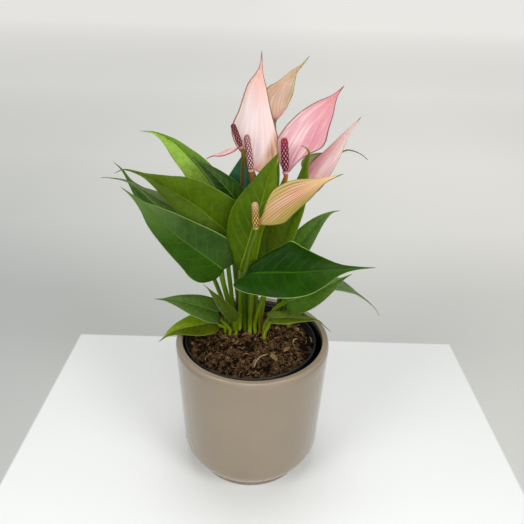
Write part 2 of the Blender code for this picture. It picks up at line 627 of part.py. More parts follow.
def build_bloom(bloom):
    joint = np.asarray(bloom.joint, float)
    up = unit(bloom.spike)
    ground = np.array([*bloom.hole, SOIL_TOP])
    foot = joint - up * (COLLAR_HEIGHT / 2 + GAP)
    path = stem_path(bloom.hole, bloom.bend, foot - up * 4, foot - ground, 8)
    path = np.vstack([path, foot])
    stalk = tube(bloom.name + "_peduncle", path, [bloom.stalk] * len(path), STEM_SIDES,
                 material("peduncle_" + bloom.stalk_colour, bloom.stalk_colour, 0.45))
    smooth_shaded(stalk, 50)
    front = unit(np.asarray(bloom.face) - up * (np.asarray(bloom.face) @ up))
    start = joint - front * (COLLAR_RADIUS - 0.5)
    finish = material("spathe_" + bloom.colour, bloom.colour, 0.35)
    grid, tip = blade_surface(bloom, [tuple(start), *bloom.rib], SPATHE_OUTLINE,
                              spathe_shape(bloom), 10, 3)
    spathe = solid_blade(bloom.name + "_spathe", grid, tip, SPATHE_THICKNESS, 0.4, finish)
    ends = [joint - up * COLLAR_HEIGHT / 2, joint + up * COLLAR_HEIGHT / 2]
    collar = tube(bloom.name + "_collar", ends, [COLLAR_RADIUS] * 2, 8, finish)
    smooth_shaded(joined(spathe, [collar]))
    build_spadix(bloom, joint + up * (COLLAR_HEIGHT / 2 + GAP), up)


def build_spadix(bloom, foot, up):
    """A spadix: a tapered spike whose surface rises in a lattice of florets."""
    around, rows = 12, max(6, int(round(bloom.spike_length / 2.4)))
    across = unit(np.cross(up, (0.0, 1.0, 0.2)))
    other = np.cross(up, across)
    points = [foot]
    for r in range(rows + 1):
        share = r / rows
        radius = bloom.spike_radius * (0.62 + 0.38 * min(1.0, share / 0.18))
        radius *= 1 - 0.14 * share
        if share > 0.86:
            radius *= math.sqrt(max(0.0, 1 - ((share - 0.86) / 0.16) ** 2))
        for i in range(around):
            angle = 2 * math.pi * (i + 0.5 * (r % 2)) / around
            relief = 0.25 if i % 2 == 0 else -0.25
            reach = radius + (relief if 0 < r < rows else 0.0)
            points.append(foot + up * share * bloom.spike_length
                          + reach * (across * math.cos(angle) + other * math.sin(angle)))
    points.append(foot + up * (bloom.spike_length + 0.4))
    last = len(points) - 1
    faces = []
    for i in range(around):
        j = (i + 1) % around
        faces.append((0, 1 + i, 1 + j))
        for r in range(rows):
            low, high = 1 + r * around, 1 + (r + 1) * around
            if r % 2 == 0:
                faces += [(low + i, low + j, high + i), (low + j, high + j, high + i)]
            else:
                faces += [(low + i, low + j, high + j), (low + i, high + j, high + i)]
        top = 1 + rows * around
        faces.append((top + i, top + j, last))
    spadix = mesh_object(bloom.name + "_spadix", points, faces,
                         material("spadix_" + bloom.spike_colour, bloom.spike_colour, 0.5))
    smooth_shaded(spadix, 30)


def main():
    clear_scene()
    build_cover_pot()
    build_nursery_pot()
    build_soil([(*leaf.hole, leaf.stalk) for leaf in LEAVES]
               + [(*bloom.hole, bloom.stalk) for bloom in BLOOMS])
    for leaf in LEAVES:
        build_leaf(leaf)
    for bloom in BLOOMS:
        build_bloom(bloom)


main()
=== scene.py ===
"""The looks of a potted anthurium: living leaves and blooms on their stalks, rooted in a coir
mix, in a black grower's pot that stands in a glazed stoneware cover pot.

Sizes in the tables are in millimetres, and turned to metres where a mesh is made. X is to the
right, Y away from the viewer and Z up, from the middle of the pot's foot.
"""

import math
from typing import NamedTuple

import bpy
import numpy as np
from mathutils import Matrix, Vector, noise


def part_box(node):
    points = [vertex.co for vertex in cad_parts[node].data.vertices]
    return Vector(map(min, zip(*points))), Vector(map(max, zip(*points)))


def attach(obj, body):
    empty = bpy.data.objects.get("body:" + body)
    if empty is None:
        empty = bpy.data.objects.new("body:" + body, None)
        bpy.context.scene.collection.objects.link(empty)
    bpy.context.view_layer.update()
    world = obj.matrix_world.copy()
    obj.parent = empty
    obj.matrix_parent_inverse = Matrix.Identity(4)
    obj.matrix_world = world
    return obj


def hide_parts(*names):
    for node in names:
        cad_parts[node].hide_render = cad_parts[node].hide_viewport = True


bl_info = {
    "name": "Potted anthurium",
    "version": (1, 0, 0),
    "blender": (4, 5, 0),
    "location": "3D View > Sidebar > Anthurium",
    "description": "Builds a potted anthurium around its solid model, piece by piece",
    "category": "Object",
}

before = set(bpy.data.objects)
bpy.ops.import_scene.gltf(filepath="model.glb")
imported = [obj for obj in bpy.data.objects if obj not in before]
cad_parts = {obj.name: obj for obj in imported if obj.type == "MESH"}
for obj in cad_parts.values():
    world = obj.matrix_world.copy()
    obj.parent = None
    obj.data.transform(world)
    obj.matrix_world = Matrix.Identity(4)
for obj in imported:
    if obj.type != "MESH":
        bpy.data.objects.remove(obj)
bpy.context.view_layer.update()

MM = 0.001
POT_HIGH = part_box("cover_pot")[1]
NURSERY_LOW, NURSERY_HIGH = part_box("nursery_pot")

# The mean height of the mix's top, and how deep the stalks stand in it.
SOIL_TOP = 122.5
STEM_DEPTH = 14.0

# The middle of the nursery pot, and how far its lip stands over that of its solid. The solid
# also stands a little further forward.
NURSERY_X, NURSERY_Y = -1.8, 1.3
NURSERY_RISE = 2.0

# How far a leaf's side veins run on toward the tip at the edge, as a share of the blade's
# length, and how much they bow.
VEIN_SWEEP = 0.055
VEIN_BOW = 1.6

# Points that a smooth curve gets between two of its own, and the points that a blade's midrib
# and each of its edges are read at.
CURVE_STEPS = 24
MIDRIB_SAMPLES = 257
EDGE_SAMPLES = 400

# Each outline runs from the notch at the stalk round one lobe to the tip. The first number is
# the share of the midrib's length, the second the share of the half width.
LEAF_OUTLINE = [
    (0.00, 0.10), (-0.036, 0.32), (-0.036, 0.62), (0.03, 0.90), (0.17, 1.00), (0.36, 0.90),
    (0.56, 0.62), (0.72, 0.34), (0.84, 0.12), (0.92, 0.05), (1.00, 0.00),
]
SPATHE_OUTLINE = [
    (0.00, 0.12), (0.05, 0.25), (0.12, 0.52), (0.22, 0.85), (0.32, 1.00), (0.48, 0.90),
    (0.64, 0.62), (0.77, 0.33), (0.86, 0.12), (0.93, 0.05), (1.00, 0.00),
]
# The share at which the drip tip starts in both.
TIP_START = 0.84

# The cover pot's outside as (radius, height): its foot, which is matt and painted darker as
# shade up to the last point but one, and its lower edge from there up to the wall.
FOOT_EDGE = [(44.0, 1.2), (47.0, 0.3), (49.3, 0.0), (50.4, 0.2), (51.0, 0.7),
             (51.2, 1.4), (51.2, 3.2), (50.9, 3.8), (50.4, 4.3), (50.5, 4.7)]
LOW_EDGE = [(51.6, 5.2), (55.3, 9.3), (58.2, 12.8), (60.7, 16.6), (62.6, 20.8), (63.6, 25.0)]


class Leaf(NamedTuple):
    """A leaf: its place in the mix, its midrib from the stalk to the tip, the way its upper
    side faces, its half widths to the right and left looking along the midrib, where its drip
    tip starts, the edges of a leaf that has its own, as (share of the midrib, width), how many
    degrees its halves fold up, the bends and the radius of its petiole, and its slot."""

    name: str
    hole: tuple
    rib: list
    face: tuple
    half: tuple = (12, 12)
    drip: float = TIP_START
    edges: tuple = None
    fold: float = 12.0
    bend: list = None
    stalk: float = 2.0
    slot: str = "leaf_dark"


class Bloom(NamedTuple):
    """A bloom: its place in the mix, the joint of its peduncle and spathe, the spathe's midrib
    after the joint, the way the spathe's front faces, the spadix's direction, length and
    radius, and then the spathe's widths, edges and fold and the peduncle's bends and radius,
    as a leaf has them."""

    name: str
    hole: tuple
    joint: tuple
    rib: list
    face: tuple
    spike: tuple
    spike_length: float
    spike_radius: float
    half: tuple = (10, 10)
    drip: float = TIP_START
    edges: tuple = None
    fold: float = 10.0
    bend: list = None
    stalk: float = 1.7


LEAVES = [
    Leaf("leaf_a_front_left", (-17.5, 15.8), [(-25, -2, 198), (-42, -8, 215), (-62, -13, 234),
         (-82, -19, 259), (-99, -23, 276)], (0.0, -0.93, 0.32),
         edges=([(0, 3), (-0.02, 12), (0.03, 19), (0.16, 23.5), (0.34, 20.5), (0.56, 15),
                 (0.70, 8), (0.81, 2.2), (0.9, 1), (1, 0)],
                [(0, 3), (0.01, 11), (0.09, 19.5), (0.19, 21.5), (0.32, 18), (0.50, 13.5),
                 (0.67, 10), (0.79, 5), (0.89, 1.6), (1, 0)])),
    Leaf("leaf_b_olive_left", (-18.5, 21.2), [(-22, 8, 227), (-33, 8, 237), (-50, 7, 252),
         (-68, 6, 264), (-83, 4, 274), (-100, 1, 281), (-109, 0, 278)],
         (-0.1, -0.88, 0.42), fold=14, slot="leaf_olive",
         edges=([(0, 3), (-0.03, 13), (0.02, 21), (0.10, 25), (0.30, 22), (0.50, 16),
                 (0.62, 9.5), (0.71, 4.5), (0.80, 1.6), (1, 0)],
                [(0, 3), (-0.03, 11), (0.05, 16), (0.18, 17.5), (0.33, 15), (0.48, 11),
                 (0.62, 6.5), (0.72, 3.5), (0.80, 1.4), (1, 0)])),
    Leaf("leaf_c_far_left", (-26.5, 31), [(-43, 26, 209), (-69, 26, 225), (-89, 26, 244),
         (-102, 25, 260), (-109, 24, 273), (-116, 24, 280)], (-0.2, -0.85, 0.5), (20, 14),
         drip=0.8),
    Leaf("leaf_d_edge_left", (-22.5, 26.5), [(-33, 14, 227), (-52, 14, 238), (-73, 14, 249),
         (-88, 13, 259), (-103, 12, 268), (-114, 10, 271), (-122, 8, 272)],
         (0.1, -0.5, 0.85), (13, 14), drip=0.7),
    Leaf("leaf_e_lime_upper", (-14.5, 30.5), [(-20, 31, 237), (-39, 32, 261), (-49, 33, 274),
         (-58, 34, 284), (-69, 36, 294), (-83, 37, 301), (-95, 38, 302)],
         (-0.3, -0.7, 0.6), slot="leaf_lime_bright",
         edges=([(0, 3), (-0.02, 9), (0.06, 14), (0.18, 14.5), (0.37, 11.5), (0.50, 9),
                 (0.62, 6), (0.76, 2.8), (0.86, 1.2), (1, 0)],
                [(0, 3), (-0.02, 9), (0.08, 14), (0.20, 15.5), (0.35, 14), (0.50, 11.8),
                 (0.68, 9.2), (0.78, 5.5), (0.87, 2), (1, 0)])),
    Leaf("leaf_f_dark_upper", (-10, 22), [(-8, 20, 241), (-28, 20, 266), (-42, 20, 279),
         (-55, 20, 289)], (0.2, -0.6, 0.75), (12, 12)),
    Leaf("leaf_g_back_blue", (-4.5, 26), [(-9, 46, 215), (-10, 48, 250), (-9, 50, 294)],
         (-0.2, -0.95, 0.1), (20, 26), slot="leaf_bluish"),
    Leaf("leaf_h_centre", (-12, 16), [(-12, -6, 200), (-6, -8, 221), (-1, -8, 241),
         (5, -5, 260), (10, 0, 280), (17, 4, 297)], (-0.3, -0.95, 0.1),
         slot="leaf_yellow_green",
         edges=([(0, 2.5), (0.04, 6), (0.12, 11), (0.24, 10.5), (0.38, 9), (0.52, 10),
                 (0.68, 10.5), (0.80, 7.5), (0.90, 3.2), (1, 0)],
                [(0, 2.5), (0.05, 6), (0.12, 10), (0.23, 17), (0.34, 19.5), (0.48, 20.5),
                 (0.63, 17), (0.77, 10), (0.90, 4.2), (1, 0)])),
    Leaf("leaf_i_front_right", (-3, 12.5), [(-4, -20, 205), (17, -23, 208), (37, -27, 211),
         (67, -30, 217), (94, -33, 220)], (0.0, -0.75, 0.65), slot="leaf_glossy_dark",
         edges=([(0, 2), (-0.07, 5), (-0.12, 10), (-0.05, 15.5), (0.08, 19), (0.22, 21.5),
                 (0.36, 21.5), (0.49, 19), (0.60, 13.5), (0.72, 6), (0.84, 2), (1, 0)],
                [(0, 2), (0.02, 7), (0.08, 11), (0.18, 17), (0.28, 22), (0.35, 25),
                 (0.45, 20), (0.59, 11), (0.70, 4.5), (0.80, 1.6), (1, 0)])),
    Leaf("leaf_j_right", (23, 35), [(29, 12, 199), (41, 16, 219), (52, 20, 233),
         (63, 26, 240), (72, 30, 241)], (-0.3, -0.8, 0.5), (11, 11)),
    Leaf("leaf_k_low_right", (10.5, 12.8), [(30, 12, 160), (57, 4, 178), (82, -3, 198)],
         (0.1, -0.9, 0.4), (14, 14), bend=[(13, 18, 135), (20, 21, 147)]),
    Leaf("leaf_l_drooping", (33, 29.5), [(42, 24, 175), (56, 22, 176), (75, 19, 174),
         (93, 16, 167), (107, 13, 157), (113, 11, 149)], (0.0, -0.2, 0.95), (12, 12),
         drip=0.65),
    Leaf("leaf_m_rim_right", (10.5, 6.8), [(15, 8, 145), (33, 9, 145), (47, 8, 145),
         (58, 6, 145), (64, 5, 140), (70, 4, 135)], (0.0, -0.1, 1.0), (10, 9),
         drip=0.7, stalk=1.6),
    Leaf("leaf_n_low_left", (-21, 11.5), [(-31, 10, 148), (-47, 7, 156), (-67, 4, 163),
         (-86, 1, 166)], (0.0, -0.6, 0.8), (11, 13), stalk=1.6),
    Leaf("leaf_o_lime_left", (-25.5, 16.5), [(-36, 17, 133), (-53, 7, 135), (-70, -4, 136),
         (-83, -8, 127)], (-0.2, -0.65, 0.75), (12, 12), stalk=1.6, slot="leaf_lime"),
    Leaf("leaf_p_small_curled", (-15, 9.8), [(-13, -4, 154), (-27, -6, 171), (-42, -8, 187)],
         (-0.1, -0.9, 0.3), (2.5, 8.5), fold=24, stalk=1.4, slot="leaf_dull_olive"),
    Leaf("leaf_r_centre_right", (1.8, 15.8), [(15, 6, 202), (23, 6, 223), (32, 6, 252),
         (36, 7, 273), (38, 7, 287), (40, 6, 296), (37, 4, 301), (33, 2, 303)],
         (-0.6, -0.8, 0.1), slot="leaf_mid",
         edges=([(0, 2.5), (0.03, 6), (0.15, 10), (0.32, 10), (0.50, 9), (0.68, 6.5),
                 (0.80, 3.4), (0.89, 1.2), (1, 0)],
                [(0, 2.5), (0.03, 8), (0.14, 14), (0.30, 15), (0.45, 12), (0.60, 7.5),
                 (0.74, 3.5), (0.88, 1), (1, 0)])),
    Leaf("leaf_s_behind", (7, 23.2), [(12, 27, 187), (15, 30, 222), (22, 34, 258),
         (26, 36, 281)], (0.0, -1.0, 0.2), (13, 12), slot="leaf_olive"),
    Leaf("leaf_u_back_right", (24, 42.8), [(37, 44, 247), (51, 46, 270), (60, 47, 280),
         (65, 48, 283), (72, 49, 287), (78, 50, 288), (87, 50, 285), (94, 50, 280)],
         (0.2, -0.3, 0.9), (8, 8), drip=0.55),
]

BLOOMS = [
    Bloom("bloom_1", (0, 21.2), (-4, 18, 278), [(-2, 24, 301), (-1, 26, 324), (1, 26, 346),
          (2, 25, 359), (2, 24, 367)], (0.05, -0.95, 0.15), (-0.14, -0.1, 1.0),
          28.0, 2.7, bend=[(-2, 31, 236)],
          edges=([(0, 2.5), (-0.02, 9), (0.03, 17), (0.11, 21.5), (0.20, 21), (0.38, 15.5),
                  (0.55, 10.5), (0.70, 6), (0.81, 2.2), (0.89, 0.9), (1, 0)],
                 [(0, 2.5), (0.07, 4), (0.13, 9), (0.21, 15), (0.31, 18.5), (0.40, 18),
                  (0.52, 13.5), (0.72, 9), (0.81, 4), (0.88, 1.2), (1, 0)])),
    Bloom("bloom_2", (6.5, 17.2), (23, 12, 279), [(30, 15, 296), (40, 17, 315), (51, 18, 329),
          (59, 18, 339), (64, 18, 345)], (-0.3, -0.9, 0.1), (-0.08, -0.13, 1.0), 27.0, 3.1,
          edges=([(0, 2.5), (0.10, 5), (0.20, 8.5), (0.29, 13), (0.37, 17.5), (0.45, 18.5),
                  (0.54, 16.5), (0.72, 9.5), (0.82, 4.5), (0.90, 1.4), (1, 0)],
                 [(0, 2.5), (0.04, 6.5), (0.13, 11), (0.24, 15.5), (0.36, 15), (0.50, 12.5),
                  (0.71, 7.4), (0.81, 3.6), (0.90, 1.2), (1, 0)])),
    Bloom("bloom_3", (-7.5, 13.5), (1, -16, 243), [(6, -15, 249), (16, -15, 258),
          (31, -14, 269), (48, -13, 280), (65, -13, 287)], (-0.3, -0.7, 0.65),
          (-0.05, -0.05, 1.0), 20.0, 2.8,
          bend=[(-8, -5, 184), (-8, -14, 198), (-6, -17, 210), (-3, -17, 226)],
          edges=([(0, 2), (0.07, 3), (0.13, 8), (0.21, 13), (0.29, 15.8), (0.39, 14),
                  (0.62, 9.5), (0.72, 6), (0.81, 2.8), (0.90, 1.1), (1, 0)],
                 [(0, 2), (0.09, 2.4), (0.17, 5), (0.25, 9.6), (0.35, 12.9), (0.46, 12.8),
                  (0.57, 10.8), (0.68, 6.5), (0.79, 2.4), (0.90, 1), (1, 0)])),
    Bloom("bloom_4", (30.5, 35), (36.5, 30, 250), [(42, 31, 259), (51, 33, 273), (62, 36, 288),
          (71, 39, 302), (77, 40, 310), (83, 40, 318)], (0.2, 0.9, -0.15),
          (0.25, 0.72, 0.75), 13.0, 2.4, bend=[(31.5, 34.5, 190), (33.5, 32, 224)],
          edges=([(0, 2.5), (0.06, 5), (0.14, 8.5), (0.25, 10), (0.39, 9), (0.55, 6.6),
                  (0.69, 4.1), (0.80, 2.2), (0.90, 1), (1, 0)],) * 2),
    Bloom("bloom_5", (2.3, 27), (14, 48, 313), [(15, 46, 327), (20, 44, 339), (26, 44, 349),
          (33, 45, 355), (39, 46, 362)], (0.0, 0.9, 0.2), (0.2, 0.25, 1.0), 18.0, 2.6,
          bend=[(12, 37, 222), (18, 43, 262)],
          edges=([(0, 2.5), (0.05, 7), (0.15, 11), (0.32, 11), (0.46, 6.5), (0.60, 3.2),
                  (0.76, 1.2), (1, 0)],
                 [(0, 2.5), (0.05, 5), (0.18, 9.5), (0.36, 10.5), (0.52, 8), (0.67, 4.5),
                  (0.80, 1.4), (1, 0)])),
    Bloom("bloom_6", (-14.5, 25.2), (-12, 12, 298), [(-18, 10, 296), (-27, 6, 293),
          (-33, 4, 293), (-38, 2, 291)], (0.0, -0.2, 0.95), (-0.35, -0.1, 0.95),
          18.0, 2.3, (3, 4), bend=[(-13, 34, 235), (-12, 32, 262)]),
    Bloom("bloom_7", (29, 40.2), (39.5, 43, 268), [(45, 43, 278), (51, 44, 284), (57, 45, 287)],
          (0.0, 0.8, 0.5), (0.2, 0.3, 0.9), 12.0, 2.2, (7, 7),
          bend=[(30, 39.3, 190), (33, 43, 240)]),
]

# What lies on the mix: a path of (x, y, height over the mix), a radius and a skin.
ROOTS = [
    ([(51.0, 25, 1.5), (52.6, 15, 2.0), (53.4, 5, 1.6), (51, -4, 0.8)], 0.55, "pale"),
    ([(14, -15, 0.4), (8, -19, 1.4), (4, -27, 1.2), (2, -35, 0.4)], 0.45, "pale"),
    ([(42, 9.5, 0.8), (37.5, 6.5, 1.6), (36.5, 2.0, 0.8)], 0.5, "pale"),
    ([(45, 0, 0.6), (48, 1.8, 1.0), (50.6, -1.0, 0.6)], 0.7, "pale"),
    ([(-19.6, 24, 12), (-17.5, 19, 6.5), (-14.5, 12, 1.0)], 1.3, "dead"),
    ([(-10, 8.5, 0.5), (-5.5, 10.2, 2.2), (0.5, 9.6, 0.8)], 0.8, "dead"),
    ([(-3.6, 18, 2.4), (-3.4, 17, 4.2), (-3.0, 15.5, 4.6)], 1.4, "dead"),
]

# The coir of the loose crumbs and fibres: its name, its browns from dark to pale, and the share
# of the draws under which it is used.
CRUMBS = [("crumb_dark", ("060402", "150e08", "32241a"), 0.5),
          ("crumb_brown", ("2c1c10", "56402a", "846644"), 0.95),
          ("crumb_tan", ("5c462c", "8a6e4a", "b4986c"), 1.0)]
FIBRES = [("coir_fibre_brown", ("3e2a16", "6c5030", "967448"), 0.45),
          ("coir_fibre_golden", ("7c5c34", "a8865a", "c8a878"), 1.0)]

# The lights, with their places and sizes in metres and their shares of the light's power.
LAMPS = [("window_right", (1.0, -1.0, 1.2), 0.8, 1.0),
         ("window_left", (-1.05, -0.95, 1.1), 0.8, 0.75),
         ("window_front", (0.1, -1.55, 0.8), 1.2, 0.9), ("ceiling", (0.0, 0.35, 1.7), 1.0, 0.9)]


class LeafLook(NamedTuple):
    """A leaf's colours, right and left of its midrib looking along it, each holding painted
    light and shade, then its veins, its rim, a paler margin brightened into a painted highlight,
    and its underside, how rough and how shiny its wax is, and how pale it turns at its tip."""

    right: str
    left: str
    vein: str = "6f9440"
    rim: str = "9ab070"
    back: str = "5c7c30"
    rough: float = 0.38
    shine: float = 0.14
    pale: float = 0.15


class Skin(NamedTuple):
    """A spathe's colours: across it from its left edge over its heart to its right edge,
    looking along its midrib, then at its foot, on its tip, along its outline and in its veins.
    The veins have a count on each half and a strength, and the pale streaks of painted sheen a
    strength. The foot's colour reaches up to a share of the length, and a folded lobe may have
    its own. Then come the peduncle's colours, low and high, and the florets' tops, their gaps
    and the spadix's own tip."""

    across: tuple
    foot: str
    tip: str
    outline: str
    vein: str
    veins: int = 6
    vein_strength: float = 0.2
    streaks: float = 0.2
    reach: float = 0.3
    lobe: str = None
    stalk_low: str = "6d8a34"
    stalk_high: str = "96603a"
    floret: str = "f0ccc8"
    gap: str = "6c2034"
    crown: str = "8c4050"


# Where a leaf's two halves differ, the difference is painted light and shade from its fold, such
# as the grey sheen on leaf A's upper half; the rims are brightened into painted highlights.
LEAF_LOOKS = {
    "leaf_a_front_left": LeafLook("2e4a14", "264800", vein="4a6c20", rim="84a058", rough=0.42,
                                  shine=0.13, pale=0.5),
    "leaf_b_olive_left": LeafLook("445c01", "445b07", vein="5c7a24", rim="6c8034",
                                  back="66802c", rough=0.5, shine=0.1, pale=0.3),
    "leaf_c_far_left": LeafLook("3c5c20", "3c5e22", vein="4c7030", rim="6c8850"),
    "leaf_d_edge_left": LeafLook("647448", "3f5a21", vein="5c7440", rim="7c8c5c"),
    "leaf_e_lime_upper": LeafLook("587c1c", "82a438", vein="a8cc58", rim="88a050",
                                  back="84a42c"),
    "leaf_f_dark_upper": LeafLook("264402", "112c01", rim="8ca068"),
    "leaf_g_back_blue": LeafLook("2c5c40", "2e5e40", vein="6c9480", rim="70987c",
                                 back="53805c"),
    "leaf_h_centre": LeafLook("516601", "3e5601", vein="789630", rim="6c8828", back="76942a",
                              rough=0.5, shine=0.08),
    "leaf_i_front_right": LeafLook("1d3e06", "153503", vein="346208", rim="94b458",
                                   rough=0.26, shine=0.08, pale=0.1),
    "leaf_j_right": LeafLook("486626", "406113", rim="a0b878"),
    "leaf_k_low_right": LeafLook("426217", "4e6e23", rim="a0b878"),
    "leaf_l_drooping": LeafLook("5c7448", "5c7448", rim="a4b090"),
    "leaf_m_rim_right": LeafLook("4d5f08", "56661b", rim="8a9c54"),
    "leaf_n_low_left": LeafLook("415d19", "415c1d", rim="98ac74"),
    "leaf_o_lime_left": LeafLook("6a830a", "455002", vein="84a02c", rim="98ac44",
                                 back="82a02c"),
    "leaf_p_small_curled": LeafLook("3f5308", "3a4d06", vein="8a9440", back="6a7030",
                                    rough=0.46),
    "leaf_r_centre_right": LeafLook("587410", "4c6010", vein="6c8428", rim="788c30"),
    "leaf_s_behind": LeafLook("48600a", "4c6408", vein="607c20", rim="607c28"),
    "leaf_u_back_right": LeafLook("5c7048", "5c7048", rim="5a6844"),
}

SKINS = {
    "bloom_1": Skin(("d8c6be", "e4d4d2", "e2cccc", "eed6d4", "fae0d8"), "dca890", "e6ac9c",
                    "8a4c40", "d0a09c", 4, 0.18, 0.4, lobe="eac0a0", stalk_low="5c6418",
                    stalk_high="a8602c", crown="a86a70"),
    "bloom_2": Skin(("d8acae", "deaab2", "dca2ac", "d8909c", "dea4a8"), "e0a0ac", "d8888c",
                    "7c3c48", "d07888", 6, 0.25, 0.6, reach=0.2, stalk_low="6a6420",
                    stalk_high="b8702c", floret="c4868e", gap="560a1e", crown="96203a"),
    "bloom_3": Skin(("b8a45c", "cc9e76", "d09c7c", "c09c68", "a2984a"), "9c9438", "dcb884",
                    "6c7028", "883c30", 6, 0.95, 0.2, reach=0.6, stalk_low="3c5a0a",
                    stalk_high="4c6410", floret="d0b470", gap="744c16", crown="c8a888"),
    "bloom_4": Skin(("e8cac6", "e6c4c0", "e2b6b6", "dca8aa", "d09498"), "b44c64", "e0c0b8",
                    "686838", "b86070", 5, 0.3, 0.5, reach=0.6),
    "bloom_5": Skin(("d0b890", "dcb8a4", "dcb6a0", "dab49c", "cfae8c"), "cc9c90", "a8985c",
                    "6c6830", "a08c54", 4, 0.45, 0.3, stalk_high="6c7430"),
    "bloom_6": Skin(("c89c98", "d4a8a2", "d8b0aa", "d0a09a", "c48884"), "b06c68", "d4a8a0",
                    "94544e", "a85c58", 3, 0.3, 0.6, stalk_low="545c1c", stalk_high="6c541c",
                    floret="b07076", gap="400814", crown="642030"),
    "bloom_7": Skin(("6c7430", "a89c70", "c4ac98", "a89c70", "6c7430"), "8a8a50", "7c8440",
                    "5c6428", "6c7434", 5, 0.6, 0.1, stalk_high="6c7430"),
}


# The settings of a Mix node that blends two colours, and of one that multiplies them.
RGBA = {"out": 2, "data_type": "RGBA"}
TINT = {**RGBA, "blend_type": "MULTIPLY"}


def linear(hex_colour):
    """The linear RGBA of an sRGB hex colour."""
    channels = [int(hex_colour[i:i + 2], 16) / 255 for i in (0, 2, 4)]
    values = [c / 12.92 if c <= 0.04045 else ((c + 0.055) / 1.055) ** 2.4 for c in channels]
    return (*values, 1.0)


def spots(size):
    """The scale of a noise with spots of this size in millimetres, to two digits."""
    return float(f"{1000 / size:.2g}")


def add(tree, kind, inputs=None, out=0, stops=None, **settings):
    """Adds a node with its settings, inputs (values or other nodes' outputs) and, for a ramp,
    its stops (colours or shares), and gives the output that is used."""
    made = tree.nodes.new("ShaderNode" + kind)
    for name, value in settings.items():
        setattr(made, name, value)
    if stops:
        while len(made.color_ramp.elements) < len(stops):
            made.color_ramp.elements.new(0.5)
        for element, (place, colour) in zip(made.color_ramp.elements, stops):
            element.position = place
            element.color = colour if isinstance(colour, tuple) else (*[colour] * 3, 1.0)
    for socket, value in (inputs or {}).items():
        if isinstance(value, bpy.types.NodeSocket):
            tree.links.new(value, made.inputs[socket])
        else:
            made.inputs[socket].default_value = value
    return made.outputs[out]


def shader_socket(made, name):
    """The socket of a material's Principled shader, by its name in small letters."""
    shader = made.node_tree.nodes["Principled BSDF"]
    return shader.inputs[name.replace("_", " ").title().replace("Ior", "IOR")]


def new_material(name, **values):
    """A new material with these values on its shader's own sockets, and its node tree."""
    made = bpy.data.materials.new(name)
    made.use_nodes = True
    for socket, value in values.items():
        shader_socket(made, socket).default_value = value
    return made, made.node_tree


def linked(made, **outputs):
    """The material, with these outputs of its nodes linked to its shader."""
    for socket, output in outputs.items():
        made.node_tree.links.new(output, shader_socket(made, socket))
    return made


def unit(vector):
    """The direction of a vector."""
    vector = np.asarray(vector, float)
    return vector / np.linalg.norm(vector)


def smooth_curve(points, count=None):
    """Points along a smooth curve through the given ones, at even steps if a count is given."""
    points = np.asarray(points, float)
    ends = np.vstack([2 * points[0] - points[1], points, 2 * points[-1] - points[-2]])
    fine = []
    for before, start, end, after in zip(ends, ends[1:], ends[2:], ends[3:]):
        for t in np.linspace(0, 1, CURVE_STEPS, endpoint=False):
            fine.append(0.5 * (2 * start + (end - before) * t
                               + (2 * before - 5 * start + 4 * end - after) * t ** 2
                               + (3 * start - before - 3 * end + after) * t ** 3))
    fine = np.array(fine + [points[-1]])
    return fine if count is None else at_shares(fine, np.linspace(0, 1, count))


def at_shares(line, shares):
    """The points at these shares of a polyline's length."""
    steps = np.linalg.norm(np.diff(line, axis=0), axis=1)
    lengths = np.concatenate([[0], np.cumsum(steps)]) / steps.sum()
    return np.stack([np.interp(shares, lengths, axis) for axis in line.T], axis=1)


def deselect():
    """Leaves edit mode, with no piece selected."""
    if bpy.context.object and bpy.context.object.mode != "OBJECT":
        bpy.ops.object.mode_set(mode="OBJECT")
    bpy.ops.object.select_all(action="DESELECT")


def select_only(obj):
    """Selects one piece and makes it the active one."""
    deselect()
    obj.select_set(True)
    bpy.context.view_layer.objects.active = obj


def named(name):
    """The active piece, with a name for it and its mesh."""
    obj = bpy.context.object
    obj.name = obj.data.name = name
    return obj


def placed(obj):
    """The piece with its place, turn and scale in its mesh."""
    select_only(obj)
    bpy.ops.object.transform_apply(location=True, rotation=True, scale=True)
    return obj


def cleaned(obj, merge=0.0, outward=True):
    """The piece with its doubles merged, up to this many millimetres apart, and its faces
    turned outward."""
    select_only(obj)
    bpy.ops.object.mode_set(mode="EDIT")
    bpy.ops.mesh.select_all(action="SELECT")
    if merge:
        bpy.ops.mesh.remove_doubles(threshold=merge * MM)
    if outward:
        bpy.ops.mesh.normals_make_consistent(inside=False)
    bpy.ops.object.mode_set(mode="OBJECT")
    return obj


def smooth_shaded(obj, degrees=None):
    """The piece shaded smooth, all over or across edges that turn by less than an angle."""
    select_only(obj)
    if degrees is None:
        bpy.ops.object.shade_smooth()
    else:
        bpy.ops.object.shade_smooth_by_angle(angle=math.radians(degrees))
    return obj


def dressed(obj, *finishes):
    """The piece with its finishes, in the order in which its faces number them."""
    for finish in finishes:
        obj.data.materials.append(finish)
    return obj


def joined(name, first, second):
    """One piece of two, under a new name."""
    select_only(first)
    second.select_set(True)
    bpy.ops.object.join()
    return named(name)


def seated(obj, slot, *nodes):
    """Hands a finished piece to the frame, in place of these solids."""
    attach(obj, "root")
    if nodes:
        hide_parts(*nodes)


def blade_frames(rib, face, count):
    """Points along the midrib, with its direction, its right side and its upper side."""
    line = smooth_curve(rib, count)
    along = np.gradient(line, axis=0)
    along /= np.linalg.norm(along, axis=1)[:, None]
    up = np.tile(unit(face), (count, 1))
    up -= along * (up * along).sum(axis=1)[:, None]
    up /= np.linalg.norm(up, axis=1)[:, None]
    return line, along, np.cross(along, up), up


def outline_points(outline, half, drip):
    """One side's outline, as shares of the midrib and widths in millimetres."""
    edge = []
    for x, y in outline:
        if x < TIP_START:
            x = x * drip / TIP_START if x > 0 else x
        else:
            x = 1 - (1 - x) * (1 - drip) / (1 - TIP_START)
        edge.append((x, y * half))
    return edge


def edges_of(growth, outline):
    """The right and the left edge of a leaf or spathe: its own, or those of a shared outline."""
    return growth.edges or [outline_points(outline, half, growth.drip) for half in growth.half]


